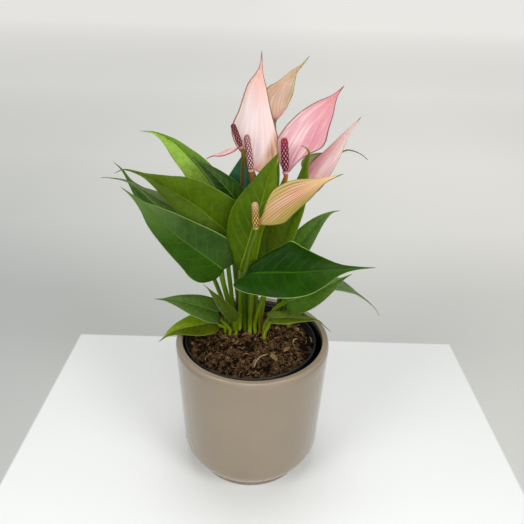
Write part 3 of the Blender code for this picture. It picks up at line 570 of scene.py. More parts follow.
def flat_grid(name, columns, rows):
    """A new flat grid, with each corner's share across it and along it."""
    deselect()
    bpy.ops.mesh.primitive_grid_add(x_subdivisions=columns, y_subdivisions=rows, size=1)
    obj = named(name)
    corners = np.empty(len(obj.data.vertices) * 3)
    obj.data.vertices.foreach_get("co", corners)
    across, along = corners.reshape(-1, 3)[:, :2].T + 0.5
    return obj, across, along


def shaped(obj, points):
    """The piece with its corners at these points."""
    obj.data.vertices.foreach_set("co", (points * MM).ravel())
    obj.data.update()
    return obj


def blade(name, growth, rib, sides, relief, grain, thickness, finishes):
    """A blade grown from a flat grid, whose rows run out from the midrib as its veins do. Its
    grain is the count of rows and of columns on each half. The grid's UV is the row's share
    along the blade, then the share across it. Its finishes are for its upper side, its
    underside and its rim."""
    rows, columns = grain
    obj, across, row = flat_grid(name, 2 * columns, rows)
    share, side = np.abs(2 * across - 1), np.where(across > 0.5, 1.0, -1.0)
    line, along, right, up = blade_frames(rib, growth.face, MIDRIB_SAMPLES)
    length = np.linalg.norm(np.diff(line, axis=0), axis=1).sum()
    end_x, end_y = np.empty_like(row), np.empty_like(row)
    steps = np.linspace(0, 1, EDGE_SAMPLES)
    for hand, edge in zip((1.0, -1.0), sides):
        curve = at_shares(smooth_curve(edge) * (length, 1), steps) / (length, 1)
        mine = side == hand
        end_x[mine] = np.interp(row[mine], steps, curve[:, 0])
        end_y[mine] = np.interp(row[mine], steps, curve[:, 1])
    # A row starts nearer the stalk than it ends, so that it runs as a side vein does.
    start_x = np.interp(row, [0, 0.3, 1], [0, 0.07, 1])
    x = start_x + (end_x - start_x) * share
    place = np.clip(x, 0, 1) * (MIDRIB_SAMPLES - 1)

    def sample(values):
        numbers = np.arange(MIDRIB_SAMPLES)
        return np.stack([np.interp(place, numbers, axis) for axis in values.T], 1)

    flat, lift = relief(end_y * share, end_y, share, side, row)
    points = sample(line) + along[0] * (np.minimum(x, 0) * length)[:, None]
    points += sample(right) * (side * flat)[:, None] + sample(up) * lift[:, None]
    mesh = shaped(obj, points).data
    corners = np.empty(len(mesh.loops), int)
    mesh.loops.foreach_get("vertex_index", corners)
    uv = np.stack([row, across], 1)[corners]
    mesh.uv_layers.active.data.foreach_set("uv", uv.ravel())
    # An open sheet keeps its faces as they are, so that its upper side stays up.
    dressed(cleaned(obj, 0.02, outward=False), *finishes)
    shell = obj.modifiers.new("thickness", "SOLIDIFY")
    shell.thickness = thickness
    shell.offset = 0.0
    shell.material_offset = 1
    shell.material_offset_rim = 2
    select_only(obj)
    bpy.ops.object.modifier_apply(modifier=shell.name)
    return smooth_shaded(obj)


def stalk(name, path, radii, sides):
    """A round living stalk: a curve with a round section and its own width at each point."""
    deselect()
    bpy.ops.curve.primitive_nurbs_path_add()
    obj = named(name)
    curve = obj.data
    curve.splines.clear()
    spline = curve.splines.new("POLY")
    spline.points.add(len(path) - 1)
    for point, place, radius in zip(spline.points, path, radii):
        point.co = (*(np.asarray(place) * MM), 1.0)
        point.radius = radius
    curve.dimensions = "3D"
    curve.bevel_depth = MM
    curve.bevel_resolution = (sides - 4) // 2
    curve.use_fill_caps = True
    bpy.ops.object.convert(target="MESH")
    return smooth_shaded(cleaned(obj, 0.01), 50)


def stem_path(hole, bends, end, arrival):
    """A stalk's path: straight down in its hole, then a smooth curve to its end. Without bends
    of its own, a long stalk's last third points along its arrival."""
    ground = np.array([*hole, SOIL_TOP + 3.0])
    rise = np.linalg.norm(end - ground)
    lead = ground + (0, 0, 0.16 * rise)
    if not bends:
        bends = [end - unit(arrival) * 0.3 * rise] if rise > 25 else []
    return [(*hole, SOIL_TOP - STEM_DEPTH), ground, lead, *bends, end]


def turned(name, profile, sides, centre=(0.0, 0.0)):
    """A turned shell: a ring at the profile's first point, drawn on from point to point."""
    deselect()
    (radius, height), *rest = profile
    middle = Vector((*centre, 0)) * MM
    bpy.ops.mesh.primitive_circle_add(vertices=sides, radius=radius * MM, fill_type="NGON",
                                      location=(middle.x, middle.y, height * MM))
    obj = placed(named(name))
    bpy.ops.object.mode_set(mode="EDIT")
    bpy.ops.mesh.select_all(action="SELECT")
    bpy.ops.mesh.flip_normals()
    bpy.ops.mesh.select_mode(type="EDGE")
    for new_radius, new_height in rest:
        bpy.ops.mesh.extrude_edges_move(
            TRANSFORM_OT_translate={"value": (0, 0, (new_height - height) * MM)})
        share = new_radius / radius
        bpy.ops.transform.resize(value=(share, share, 1), center_override=middle)
        radius, height = new_radius, new_height
    bpy.ops.mesh.edge_face_add()
    return cleaned(obj)


def arc(centre, radius, start, end, count):
    """Points of an arc in a turned profile, from one angle in degrees to another."""
    angles = np.radians(np.linspace(start, end, count))
    return [(centre[0] + radius * math.cos(a), centre[1] + radius * math.sin(a))
            for a in angles]


def glazed_stoneware(settings):
    """Stoneware under a poured, fired glaze: smooth and wet-looking, with clouds of tone 45 mm
    across, specks of 1 mm and slow ripples, and a painted highlight that makes its rim paler."""
    made, tree = new_material("glazed_stoneware", roughness=0.16, ior=1.52,
                              coat_weight=0.4, coat_roughness=0.06)
    place = add(tree, "TexCoord", out="Object")
    clouds = add(tree, "TexNoise", {"Vector": place, "Scale": spots(45), "Detail": 3.0})
    tone = (*settings.glaze_colour, 1.0)
    deep = (*(c * 0.93 for c in settings.glaze_colour), 1.0)
    colour = add(tree, "ValToRGB", {"Fac": clouds}, stops=[(0.3, deep), (0.7, tone)])
    specks = add(tree, "TexNoise", {"Vector": place, "Scale": spots(1.11), "Detail": 1.0})
    speck = add(tree, "ValToRGB", {"Fac": specks}, stops=[(0.70, 1.0), (0.76, 0.9)])
    mixed = add(tree, "Mix", {0: 1.0, 6: colour, 7: speck}, **TINT)
    height = add(tree, "SeparateXYZ", {0: place}, out=2)
    # Painted highlight: the glaze turns paler over the top 4 mm of the rim.
    thin = add(tree, "MapRange", {0: height, 1: POT_HIGH.z - 4 * MM, 2: POT_HIGH.z - 1 * MM,
                                  4: 0.35})
    mixed = add(tree, "Mix", {0: thin, 6: mixed, 7: linear("b4a592")}, **RGBA)
    ripple = add(tree, "TexNoise", {"Vector": place, "Scale": spots(18.2), "Detail": 1.0})
    bump = add(tree, "Bump", {"Height": ripple, "Strength": 0.12, "Distance": 0.0012})
    return linked(made, base_color=mixed, normal=bump)


def shaded_foot():
    """The foot ring: matt stoneware, painted darker as the shade under the body's edge.
    Its grit is drawn 0.8 mm across, coarser than the real one, so that it shows."""
    made, tree = new_material("shaded_stoneware_foot", roughness=0.7, ior=1.5)
    place = add(tree, "TexCoord", out="Object")
    sand = add(tree, "TexNoise", {"Vector": place, "Scale": spots(0.83), "Detail": 2.0})
    colour = add(tree, "ValToRGB", {"Fac": sand}, stops=[
        (0.35, linear("74685a")), (0.7, linear("988876"))])
    return linked(made, base_color=colour)


def painted_shade_inside():
    """The cover pot's inside: painted shade, near black deep down and lighter toward the lip."""
    made, tree = new_material("inside_painted_shade", roughness=0.45, ior=1.5,
                              specular_ior_level=0.2)
    place = add(tree, "TexCoord", out="Object")
    height = add(tree, "SeparateXYZ", {0: place}, out=2)
    share = add(tree, "MapRange", {0: height, 1: POT_HIGH.z - 8 * MM, 2: POT_HIGH.z - 3 * MM})
    # Painted shade: near black from 8 mm under the rim down, lighter up to 3 mm under it.
    colour = add(tree, "ValToRGB", {"Fac": share}, stops=[
        (0.0, linear("16120f")), (0.6, linear("2a2420")), (1.0, linear("6e6456"))])
    return linked(made, base_color=colour)


def moulded_plastic(settings):
    """Polypropylene, injection moulded: near black and half matt. Its grain is drawn 1.4 mm
    across, because the real one is too fine to show."""
    made, tree = new_material("moulded_black_polypropylene", roughness=0.42, ior=1.49)
    place = add(tree, "TexCoord", out="Object")
    grain = add(tree, "TexNoise", {"Vector": place, "Scale": spots(1.43), "Detail": 2.0})
    tone = (*settings.plastic_colour, 1.0)
    dusty = (*(c + 0.012 for c in settings.plastic_colour), 1.0)
    colour = add(tree, "ValToRGB", {"Fac": grain}, stops=[(0.4, tone), (0.7, dusty)])
    bump = add(tree, "Bump", {"Height": grain, "Strength": 0.25, "Distance": 0.0002})
    return linked(made, base_color=colour, normal=bump)


def blade_coordinates(tree):
    """A blade's own coordinates: the share along it, the share across it from its left edge,
    and how far out from the midrib."""
    along = add(tree, "SeparateXYZ", {0: add(tree, "UVMap", uv_map="UVMap")})
    across = along.node.outputs[1]
    out = add(tree, "Math", {0: across, 1: 0.5}, operation="SUBTRACT")
    out = add(tree, "Math", {0: out}, operation="ABSOLUTE")
    return along, across, add(tree, "Math", {0: out, 1: 2.0}, operation="MULTIPLY")


def side_veins(tree, row, out, pairs, start, fading):
    """Lines along so many pairs of side veins, which fade on their way out to the edge."""
    turns = add(tree, "Math", {0: row, 1: pairs * 2 * math.pi}, operation="MULTIPLY")
    wave = add(tree, "Math", {0: turns}, operation="COSINE")
    lines = add(tree, "ValToRGB", {"Fac": wave}, stops=[(start, 0.0), (0.99, 1.0)])
    fade = add(tree, "ValToRGB", {"Fac": out}, stops=fading)
    return add(tree, "Math", {0: lines, 1: fade}, operation="MULTIPLY")


def leaf_blade(name, look, settings):
    """A living leaf's upper side: waxy and smooth, each half with its own tone that holds
    painted light and shade, painted darker near the stalk as shade, mottled in spots of 14 and 3
    mm, paler along the midrib and faintly along the side veins, with a rim that is a paler
    margin brightened into a painted highlight. Its cells are drawn 1.1 mm across, far coarser
    than real ones, to break up its gloss."""
    made, tree = new_material(name + "_upper", specular_ior_level=look.shine, ior=1.4)
    along, across, out = blade_coordinates(tree)
    place = add(tree, "TexCoord", out="Object")
    sweep = add(tree, "Math", {0: out, 1: VEIN_BOW}, operation="POWER")
    sweep = add(tree, "Math", {0: sweep, 1: -VEIN_SWEEP}, operation="MULTIPLY")
    row = add(tree, "Math", {0: along, 1: sweep}, operation="ADD")
    laterals = side_veins(tree, row, out, settings.vein_pairs, 0.86,
                          [(0.0, 1.0), (0.6, 0.6), (0.92, 0.0)])
    midrib = add(tree, "ValToRGB", {"Fac": out}, stops=[(0.012, 1.0), (0.06, 0.0)])
    faint = add(tree, "Math", {0: laterals, 1: 0.32}, operation="MULTIPLY")
    veins = add(tree, "Math", {0: faint, 1: midrib}, operation="MAXIMUM")
    # The two halves' colours hold painted light and shade, as the fold turns them to and from
    # the light.
    hand = add(tree, "MapRange", {0: across, 1: 0.46, 2: 0.54})
    halves = add(tree, "Mix", {0: hand, 6: linear(look.left), 7: linear(look.right)}, **RGBA)
    clouds = add(tree, "TexNoise", {"Vector": place, "Scale": spots(14.3), "Detail": 4.0})
    mottle = add(tree, "TexNoise", {"Vector": place, "Scale": spots(3.1), "Detail": 3.0})
    both = add(tree, "Mix", {0: 0.45, 2: clouds, 3: mottle})
    shade = add(tree, "MapRange", {0: both, 1: 0.36, 2: 0.64, 3: 0.78, 4: 1.24})
    ground = add(tree, "Mix", {0: 1.0, 6: halves, 7: shade}, **TINT)
    strength = add(tree, "Math", {0: veins, 1: 0.75}, operation="MULTIPLY")
    veined = add(tree, "Mix", {0: strength, 6: ground, 7: linear(look.vein)}, **RGBA)
    # Painted shade: the blade turns darker toward the stalk.
    foot = add(tree, "MapRange", {0: along, 1: 0.0, 2: 0.4, 3: 0.78, 4: 1.0})
    veined = add(tree, "Mix", {0: 1.0, 6: veined, 7: foot}, **TINT)
    # A paler margin, brightened into a painted highlight along the edge.
    rim = add(tree, "ValToRGB", {"Fac": out}, stops=[(0.962, 0.0), (0.99, 0.8)])
    rimmed = add(tree, "Mix", {0: rim, 6: veined, 7: linear(look.rim)}, **RGBA)
    to_tip = add(tree, "MapRange", {0: along, 1: 0.55, 2: 1.0, 4: look.pale})
    tipped = add(tree, "Mix", {0: to_tip, 6: rimmed, 7: linear(look.rim)}, **RGBA)
    cells = add(tree, "TexNoise", {"Vector": place, "Scale": spots(1.11), "Detail": 2.0})
    rough = add(tree, "MapRange", {0: cells, 3: look.rough - 0.05, 4: look.rough + 0.07})
    sunk = add(tree, "Math", {0: veins, 1: -1.0}, operation="MULTIPLY")
    height = add(tree, "Math", {0: cells, 1: 0.08, 2: sunk}, operation="MULTIPLY_ADD")
    bump = add(tree, "Bump", {"Height": height, "Strength": 0.5, "Distance": 0.0003})
    return linked(made, base_color=tipped, roughness=rough, normal=bump)


def leaf_back(name, look, settings):
    """A living leaf's underside: paler and duller, its veins standing proud."""
    made, tree = new_material(name + "_underside", roughness=0.55, ior=1.4,
                              specular_ior_level=0.3)
    along, _, out = blade_coordinates(tree)
    laterals = side_veins(tree, along, out, settings.vein_pairs, 0.82, [(0.0, 0.5), (0.9, 0.0)])
    midrib = add(tree, "ValToRGB", {"Fac": out}, stops=[(0.02, 1.0), (0.07, 0.0)])
    veins = add(tree, "Math", {0: laterals, 1: midrib}, operation="MAXIMUM")
    mixed = add(tree, "Mix", {0: veins, 6: linear(look.back), 7: linear(look.vein)}, **RGBA)
    bump = add(tree, "Bump", {"Height": veins, "Strength": 0.4, "Distance": 0.0003})
    return linked(made, base_color=mixed, normal=bump)


def plain_living(name, low_hex, high_hex, low, high, roughness=0.4):
    """A living stalk or rim, smooth and slightly waxy: one colour low down and one higher up,
    with streaks 1 mm wide and 25 mm long."""
    made, tree = new_material(name, roughness=roughness, ior=1.42, specular_ior_level=0.3,
                              subsurface_weight=0.08, subsurface_scale=0.001)
    place = add(tree, "TexCoord", out="Object")
    height = add(tree, "SeparateXYZ", {0: place}, out=2)
    share = add(tree, "MapRange", {0: height, 1: low * MM, 2: high * MM})
    stretch = add(tree, "Mapping", {0: place, 3: (spots(1.11), spots(1.11), spots(25))})
    streaks = add(tree, "TexNoise", {"Vector": stretch, "Scale": 1.0, "Detail": 2.0})
    shade = add(tree, "MapRange", {0: streaks, 1: 0.3, 2: 0.7, 3: 0.8, 4: 1.1})
    colour = add(tree, "ValToRGB", {"Fac": share}, stops=[
        (0.0, linear(low_hex)), (1.0, linear(high_hex))])
    streaked = add(tree, "Mix", {0: 1.0, 6: colour, 7: shade}, **TINT)
    bump = add(tree, "Bump", {"Height": streaks, "Strength": 0.2, "Distance": 0.0002})
    return linked(made, base_color=streaked, normal=bump)


def spathe_skin(name, skin, back):
    """A spathe's skin: satin and fleshy, flushed from the heart to the edges and the tip, with
    veins along it, pale streaks of painted sheen between them and a thin dark outline. The back
    is duller."""
    made, tree = new_material(
        name + ("_back" if back else "_front"), roughness=0.55 if back else 0.42,
        specular_ior_level=0.3, ior=1.4, subsurface_weight=0.12, subsurface_scale=0.001,
        coat_weight=0.0 if back else 0.1, coat_roughness=0.3)
    along, across, out = blade_coordinates(tree)
    base = add(tree, "ValToRGB", {"Fac": across}, stops=[
        (place, linear(colour)) for place, colour in zip((0.04, 0.26, 0.5, 0.74, 0.96),
                                                         skin.across)])
    # Streaks in two sizes, 22 and 8 of them across the blade and each far longer than wide.
    ends = add(tree, "CombineXYZ", {0: along, 1: across})
    long_grain = add(tree, "Mapping", {0: ends, 3: (2.2, 22.0, 1.0)})
    grain = add(tree, "TexNoise", {"Vector": long_grain, "Scale": 1.0, "Detail": 4.0})
    broad_grain = add(tree, "Mapping", {0: ends, 3: (3.0, 8.0, 1.0)})
    broad = add(tree, "TexNoise", {"Vector": broad_grain, "Scale": 1.0, "Detail": 3.0})
    both = add(tree, "Mix", {0: 0.3, 2: broad, 3: grain})
    # The pale streaks are painted sheen, mixed toward near white.
    pale = add(tree, "MapRange", {0: both, 1: 0.48, 2: 0.64, 4: skin.streaks})
    streaked = add(tree, "Mix", {0: pale, 6: base, 7: linear("fff4f0")}, **RGBA)
    split = add(tree, "Math", {0: out, 1: skin.veins * 2 * math.pi}, operation="MULTIPLY")
    wave = add(tree, "Math", {0: split}, operation="COSINE")
    lines = add(tree, "ValToRGB", {"Fac": wave}, stops=[(0.35, 0.0), (0.9, 1.0)])
    broken = add(tree, "MapRange", {0: grain, 1: 0.35, 2: 0.65, 3: 1.0, 4: 0.55})
    strength = add(tree, "Math", {0: lines, 1: broken}, operation="MULTIPLY")
    inner = add(tree, "ValToRGB", {"Fac": out}, stops=[(0.86, 1.0), (0.94, 0.0)])
    strength = add(tree, "Math", {0: strength, 1: inner}, operation="MULTIPLY")
    strength = add(tree, "Math", {0: strength, 1: skin.vein_strength}, operation="MULTIPLY")
    veined = add(tree, "Mix", {0: strength, 6: streaked, 7: linear(skin.vein)}, **RGBA)
    if skin.lobe:
        veined = folded_lobe(tree, along, across, veined, grain, linear(skin.lobe))
    low = add(tree, "ValToRGB", {"Fac": along}, stops=[(0.0, 1.0), (skin.reach, 0.0)])
    footed = add(tree, "Mix", {0: low, 6: veined, 7: linear(skin.foot)}, **RGBA)
    to_tip = add(tree, "ValToRGB", {"Fac": along}, stops=[(0.6, 0.0), (0.92, 1.0)])
    tipped = add(tree, "Mix", {0: to_tip, 6: footed, 7: linear(skin.tip)}, **RGBA)
    edge = add(tree, "ValToRGB", {"Fac": out}, stops=[(0.94, 0.0), (0.98, 0.85)])
    point = add(tree, "ValToRGB", {"Fac": along}, stops=[(0.93, 0.0), (0.97, 0.8)])
    edge = add(tree, "Math", {0: edge, 1: point}, operation="MAXIMUM")
    lined = add(tree, "Mix", {0: edge, 6: tipped, 7: linear(skin.outline)}, **RGBA)
    # The ridges of the veins die away before the narrow tip.
    fading = add(tree, "MapRange", {0: along, 1: 0.5, 2: 0.78, 3: 1.0, 4: 0.0})
    ridges = add(tree, "Math", {0: lines, 1: fading}, operation="MULTIPLY")
    bump = add(tree, "Bump", {"Height": ridges, "Strength": 0.25 if back else -0.25,
                              "Distance": 0.0003})
    return linked(made, base_color=lined, normal=bump)


def folded_lobe(tree, along, across, colour, grain, lobe):
    """The lobe right of a spathe's foot, which folds over: tan with olive-brown streaks, and
    painted shade along the fold line where it turns."""
    # It lies under one slanting line and right of another, both in shares of the blade.
    slope = add(tree, "Math", {0: across, 1: 0.52, 2: -0.049}, operation="MULTIPLY_ADD")
    above = add(tree, "Math", {0: slope, 1: along}, operation="SUBTRACT")
    beside = add(tree, "Math", {0: across, 1: 0.45, 2: -0.297}, operation="MULTIPLY_ADD")
    depth = add(tree, "Math", {0: above, 1: beside}, operation="MINIMUM")
    streak = add(tree, "MapRange", {0: grain, 1: 0.42, 2: 0.6})
    streaked = add(tree, "Mix", {0: streak, 6: linear("c0906c"), 7: lobe}, **RGBA)
    inside = add(tree, "MapRange", {0: depth, 1: -0.03, 2: 0.06})
    folded = add(tree, "Mix", {0: inside, 6: colour, 7: streaked}, **RGBA)
    # Painted shade along the fold line, only near the spathe's foot.
    crease_shade = add(tree, "ValToRGB", {"Fac": depth}, stops=[(0.0, 0.0), (0.008, 0.6), (0.03, 0.0)])
    low = add(tree, "MapRange", {0: along, 1: 0.28, 2: 0.1})
    crease_shade = add(tree, "Math", {0: crease_shade, 1: low}, operation="MULTIPLY")
    return add(tree, "Mix", {0: crease_shade, 6: folded, 7: linear("5c4418")}, **RGBA)


def spadix_florets(name, skin):
    """A spadix: hundreds of tiny fleshy florets, pale on their tops and dark in the gaps, and
    more of one colour toward its tip."""
    made, tree = new_material(name, roughness=0.45, ior=1.4, specular_ior_level=0.2)
    top = add(tree, "Attribute", attribute_name="floret", out="Fac")
    rise = add(tree, "SeparateXYZ", {0: add(tree, "UVMap", uv_map="UVMap")}, out=1)
    colour = add(tree, "ValToRGB", {"Fac": top}, stops=[
        (0.38, linear(skin.gap)), (0.72, linear(skin.floret))])
    to_tip = add(tree, "MapRange", {0: rise, 1: 0.55, 2: 1.0, 4: 0.7})
    tipped = add(tree, "Mix", {0: to_tip, 6: colour, 7: linear(skin.crown)}, **RGBA)
    return linked(made, base_color=tipped)


def coir(name, hexes, size):
    """Coir and peat: matt crumbs of this size in millimetres, in several browns, and near
    black as painted shade in the hollows of their bumps.
    """
    made, tree = new_material(name, roughness=0.9, ior=1.4, specular_ior_level=0.1)
    place = add(tree, "TexCoord", out="Object")
    crumbs = add(tree, "TexNoise", {"Vector": place, "Scale": spots(size), "Detail": 5.0,
                                    "Roughness": 0.7})
    last = len(hexes) - 1
    colour = add(tree, "ValToRGB", {"Fac": crumbs}, stops=[
        (0.3 + 0.4 * i / last, linear(tone)) for i, tone in enumerate(hexes)])
    # The same noise raises the bumps, so their hollows take the darkest browns as painted shade.
    bump = add(tree, "Bump", {"Height": crumbs, "Strength": 0.9, "Distance": 0.0012})
    return linked(made, base_color=colour, normal=bump)


class PotSettings(bpy.types.PropertyGroup):
    """The sizes and colours of the cover pot and the nursery pot."""

    glaze_colour: bpy.props.FloatVectorProperty(
        name="Glaze", description="Colour of the cover pot's glaze", subtype="COLOR",
        size=3, min=0, max=1, default=linear("877863")[:3])
    plastic_colour: bpy.props.FloatVectorProperty(
        name="Plastic", description="Colour of the nursery pot", subtype="COLOR",
        size=3, min=0, max=1, default=linear("161618")[:3])
    rim_radius: bpy.props.FloatProperty(
        name="Rim radius", description="Outer radius of the cover pot at its rim",
        unit="LENGTH", default=POT_HIGH.x, precision=4)
    wall: bpy.props.FloatProperty(
        name="Wall", description="Thickness of the cover pot's wall", unit="LENGTH",
        default=6.0 * MM, precision=4)
    sides: bpy.props.IntProperty(
        name="Sides", description="Faces round each turned pot", default=128, min=24)


class LeafSettings(bpy.types.PropertyGroup):
    """What all leaves share."""

    thickness: bpy.props.FloatProperty(
        name="Thickness", description="Thickness of a leaf blade", unit="LENGTH",
        default=0.55 * MM, precision=5)
    vein_pairs: bpy.props.IntProperty(
        name="Vein pairs", description="Side veins on each half of a blade", default=13)
    wave: bpy.props.FloatProperty(
        name="Wave", description="Height of the waves along a leaf's edge", unit="LENGTH",
        default=0.7 * MM, precision=5)
    seed: bpy.props.IntProperty(
        name="Seed", description="Draws the small waves of the blades", default=11)


class BloomSettings(bpy.types.PropertyGroup):
    """What all blooms share."""

    thickness: bpy.props.FloatProperty(
        name="Thickness", description="Thickness of a spathe", unit="LENGTH",
        default=0.7 * MM, precision=5)
    florets: bpy.props.IntProperty(
        name="Florets round", description="Florets in one turn round a spadix", default=7)
    relief: bpy.props.FloatProperty(
        name="Floret height", description="How far a floret stands out of the spadix",
        unit="LENGTH", default=0.42 * MM, precision=5)


class MixSettings(bpy.types.PropertyGroup):
    """The potting mix."""

    chips: bpy.props.IntProperty(
        name="Chips", description="Loose crumbs and chips on the mix", default=1500)
    fibres: bpy.props.IntProperty(
        name="Fibres", description="Loose coir fibres on the mix", default=340)
    seed: bpy.props.IntProperty(
        name="Seed", description="Draws the places of the crumbs and fibres", default=5)


class StageSettings(bpy.types.PropertyGroup):
    """The floor, the lights and the camera."""

    floor_colour: bpy.props.FloatVectorProperty(
        name="Floor", description="Colour of the floor under the pot", subtype="COLOR",
        size=3, min=0, max=1, default=linear("f0f2f1")[:3])
    light: bpy.props.FloatProperty(
        name="Light", description="Power of the right-hand window light", default=12.0,
        unit="POWER")
    lens: bpy.props.FloatProperty(
        name="Lens", description="Focal length of the camera, in millimetres",
        default=37.24)


class ANTHURIUM_OT_cover_pot(bpy.types.Operator):
    """Turn the glazed cover pot from its foot to its rim and down its inside"""

    bl_idname = "anthurium.cover_pot"
    bl_label = "Cover pot"

    def execute(self, context):
        settings = context.scene.anthurium_pot
        rim, wall, height = settings.rim_radius / MM, settings.wall / MM, POT_HIGH.z / MM
        low, low_top = LOW_EDGE[-1]
        shoulder, round_lip = height - 5, 0.9
        profile = [*FOOT_EDGE, *smooth_curve(LOW_EDGE, 16)]
        profile += [(low + (rim - low) * share, low_top + (shoulder - low_top) * share)
                    for share in (0.15, 0.3, 0.45, 0.6, 0.75, 0.88, 0.96)]
        profile += [(rim, shoulder), (rim - 0.2, height - 3.6), (rim - 0.5, height - 2.5),
                    (rim - 0.9, height - 1.6)]
        profile += arc((rim - 2.0, height - round_lip), round_lip, 15, 90, 6)
        profile += arc((rim - wall + round_lip, height - round_lip), round_lip, 90, 180, 7)
        # Down the inside to its rounded floor.
        inner, inner_low = rim - wall, low - wall
        profile += [(inner - 0.1, height - 6), (inner - 0.4, height - 14),
                    (inner - 1.5, height - 40), (inner_low, 30.0), (inner_low - 1.2, 18.0),
                    (inner_low - 8, 10.0)]
        pot = smooth_shaded(turned("cover_pot_thrown", profile, settings.sides), 40)
        dressed(pot, glazed_stoneware(settings), shaded_foot(), painted_shade_inside())
        shaded_foot_top = FOOT_EDGE[-2][1]
        # The foot takes its matt finish painted darker as shade, and the inside below the lip
        # the painted shade of the gap between the pots.
        for face in pot.data.polygons:
            x, y, z = face.center / MM
            faces_in = face.normal.x * x + face.normal.y * y < 0.001
            if z < shaded_foot_top:
                face.material_index = 1
            elif faces_in and z < height - round_lip:
                face.material_index = 2
        seated(pot, "glazed_stoneware", "cover_pot")
        return {"FINISHED"}


class ANTHURIUM_OT_nursery_pot(bpy.types.Operator):
    """Turn the thin black pot that the plant grew in, with its rolled rim"""

    bl_idname = "anthurium.nursery_pot"
    bl_label = "Nursery pot"

    def execute(self, context):
        settings = context.scene.anthurium_pot
        top, bottom = NURSERY_HIGH.z / MM + NURSERY_RISE, NURSERY_LOW.z / MM
        # The outer radii of its rim and its base, and the thickness of its wall.
        rim, base, wall = 58.5, 43.0, 1.2
        under = rim - 1.9
        profile = [(base - 3, bottom), (base - 0.6, bottom), (base, bottom + 0.6),
                   (under - 0.3, top - 8.4), (under, top - 8.0), (rim - 0.3, top - 7.9),
                   (rim, top - 7.5), (rim, top - 1.0), (rim - 0.2, top - 0.35),
                   (rim - 0.7, top), (rim - 1.2, top), (rim - 1.65, top - 0.35),
                   (rim - 1.8, top - 1.0), (under - wall, top - 8.0),
                   (base - wall, bottom + 3.0), (base - wall - 1.5, bottom + wall)]
        pot = turned("nursery_pot_moulded", profile, settings.sides, (NURSERY_X, NURSERY_Y))
        dressed(smooth_shaded(pot, 50), moulded_plastic(settings))
        seated(pot, "black_polypropylene", "nursery_pot")
        return {"FINISHED"}


def ground_height(x, y):
    """The height of the mix's top at a place, in millimetres: hills 9 mm across, lumps of
    4 mm, and a low heap round the crown."""
    hills = noise.fractal(Vector((x / 9.0, y / 9.0, 1.7)), 0.9, 2.1, 4,
                          noise_basis="PERLIN_ORIGINAL")
    lumps = noise.turbulence(Vector((x / 4.2, y / 4.2, 5.1)), 3, False,
                             noise_basis="VORONOI_F1")
    heap = 3.0 * math.exp(-((x + 8) ** 2 + (y - 14) ** 2) / 500)
    return SOIL_TOP + 1.6 * hills + 1.5 * lumps + heap - 1.3


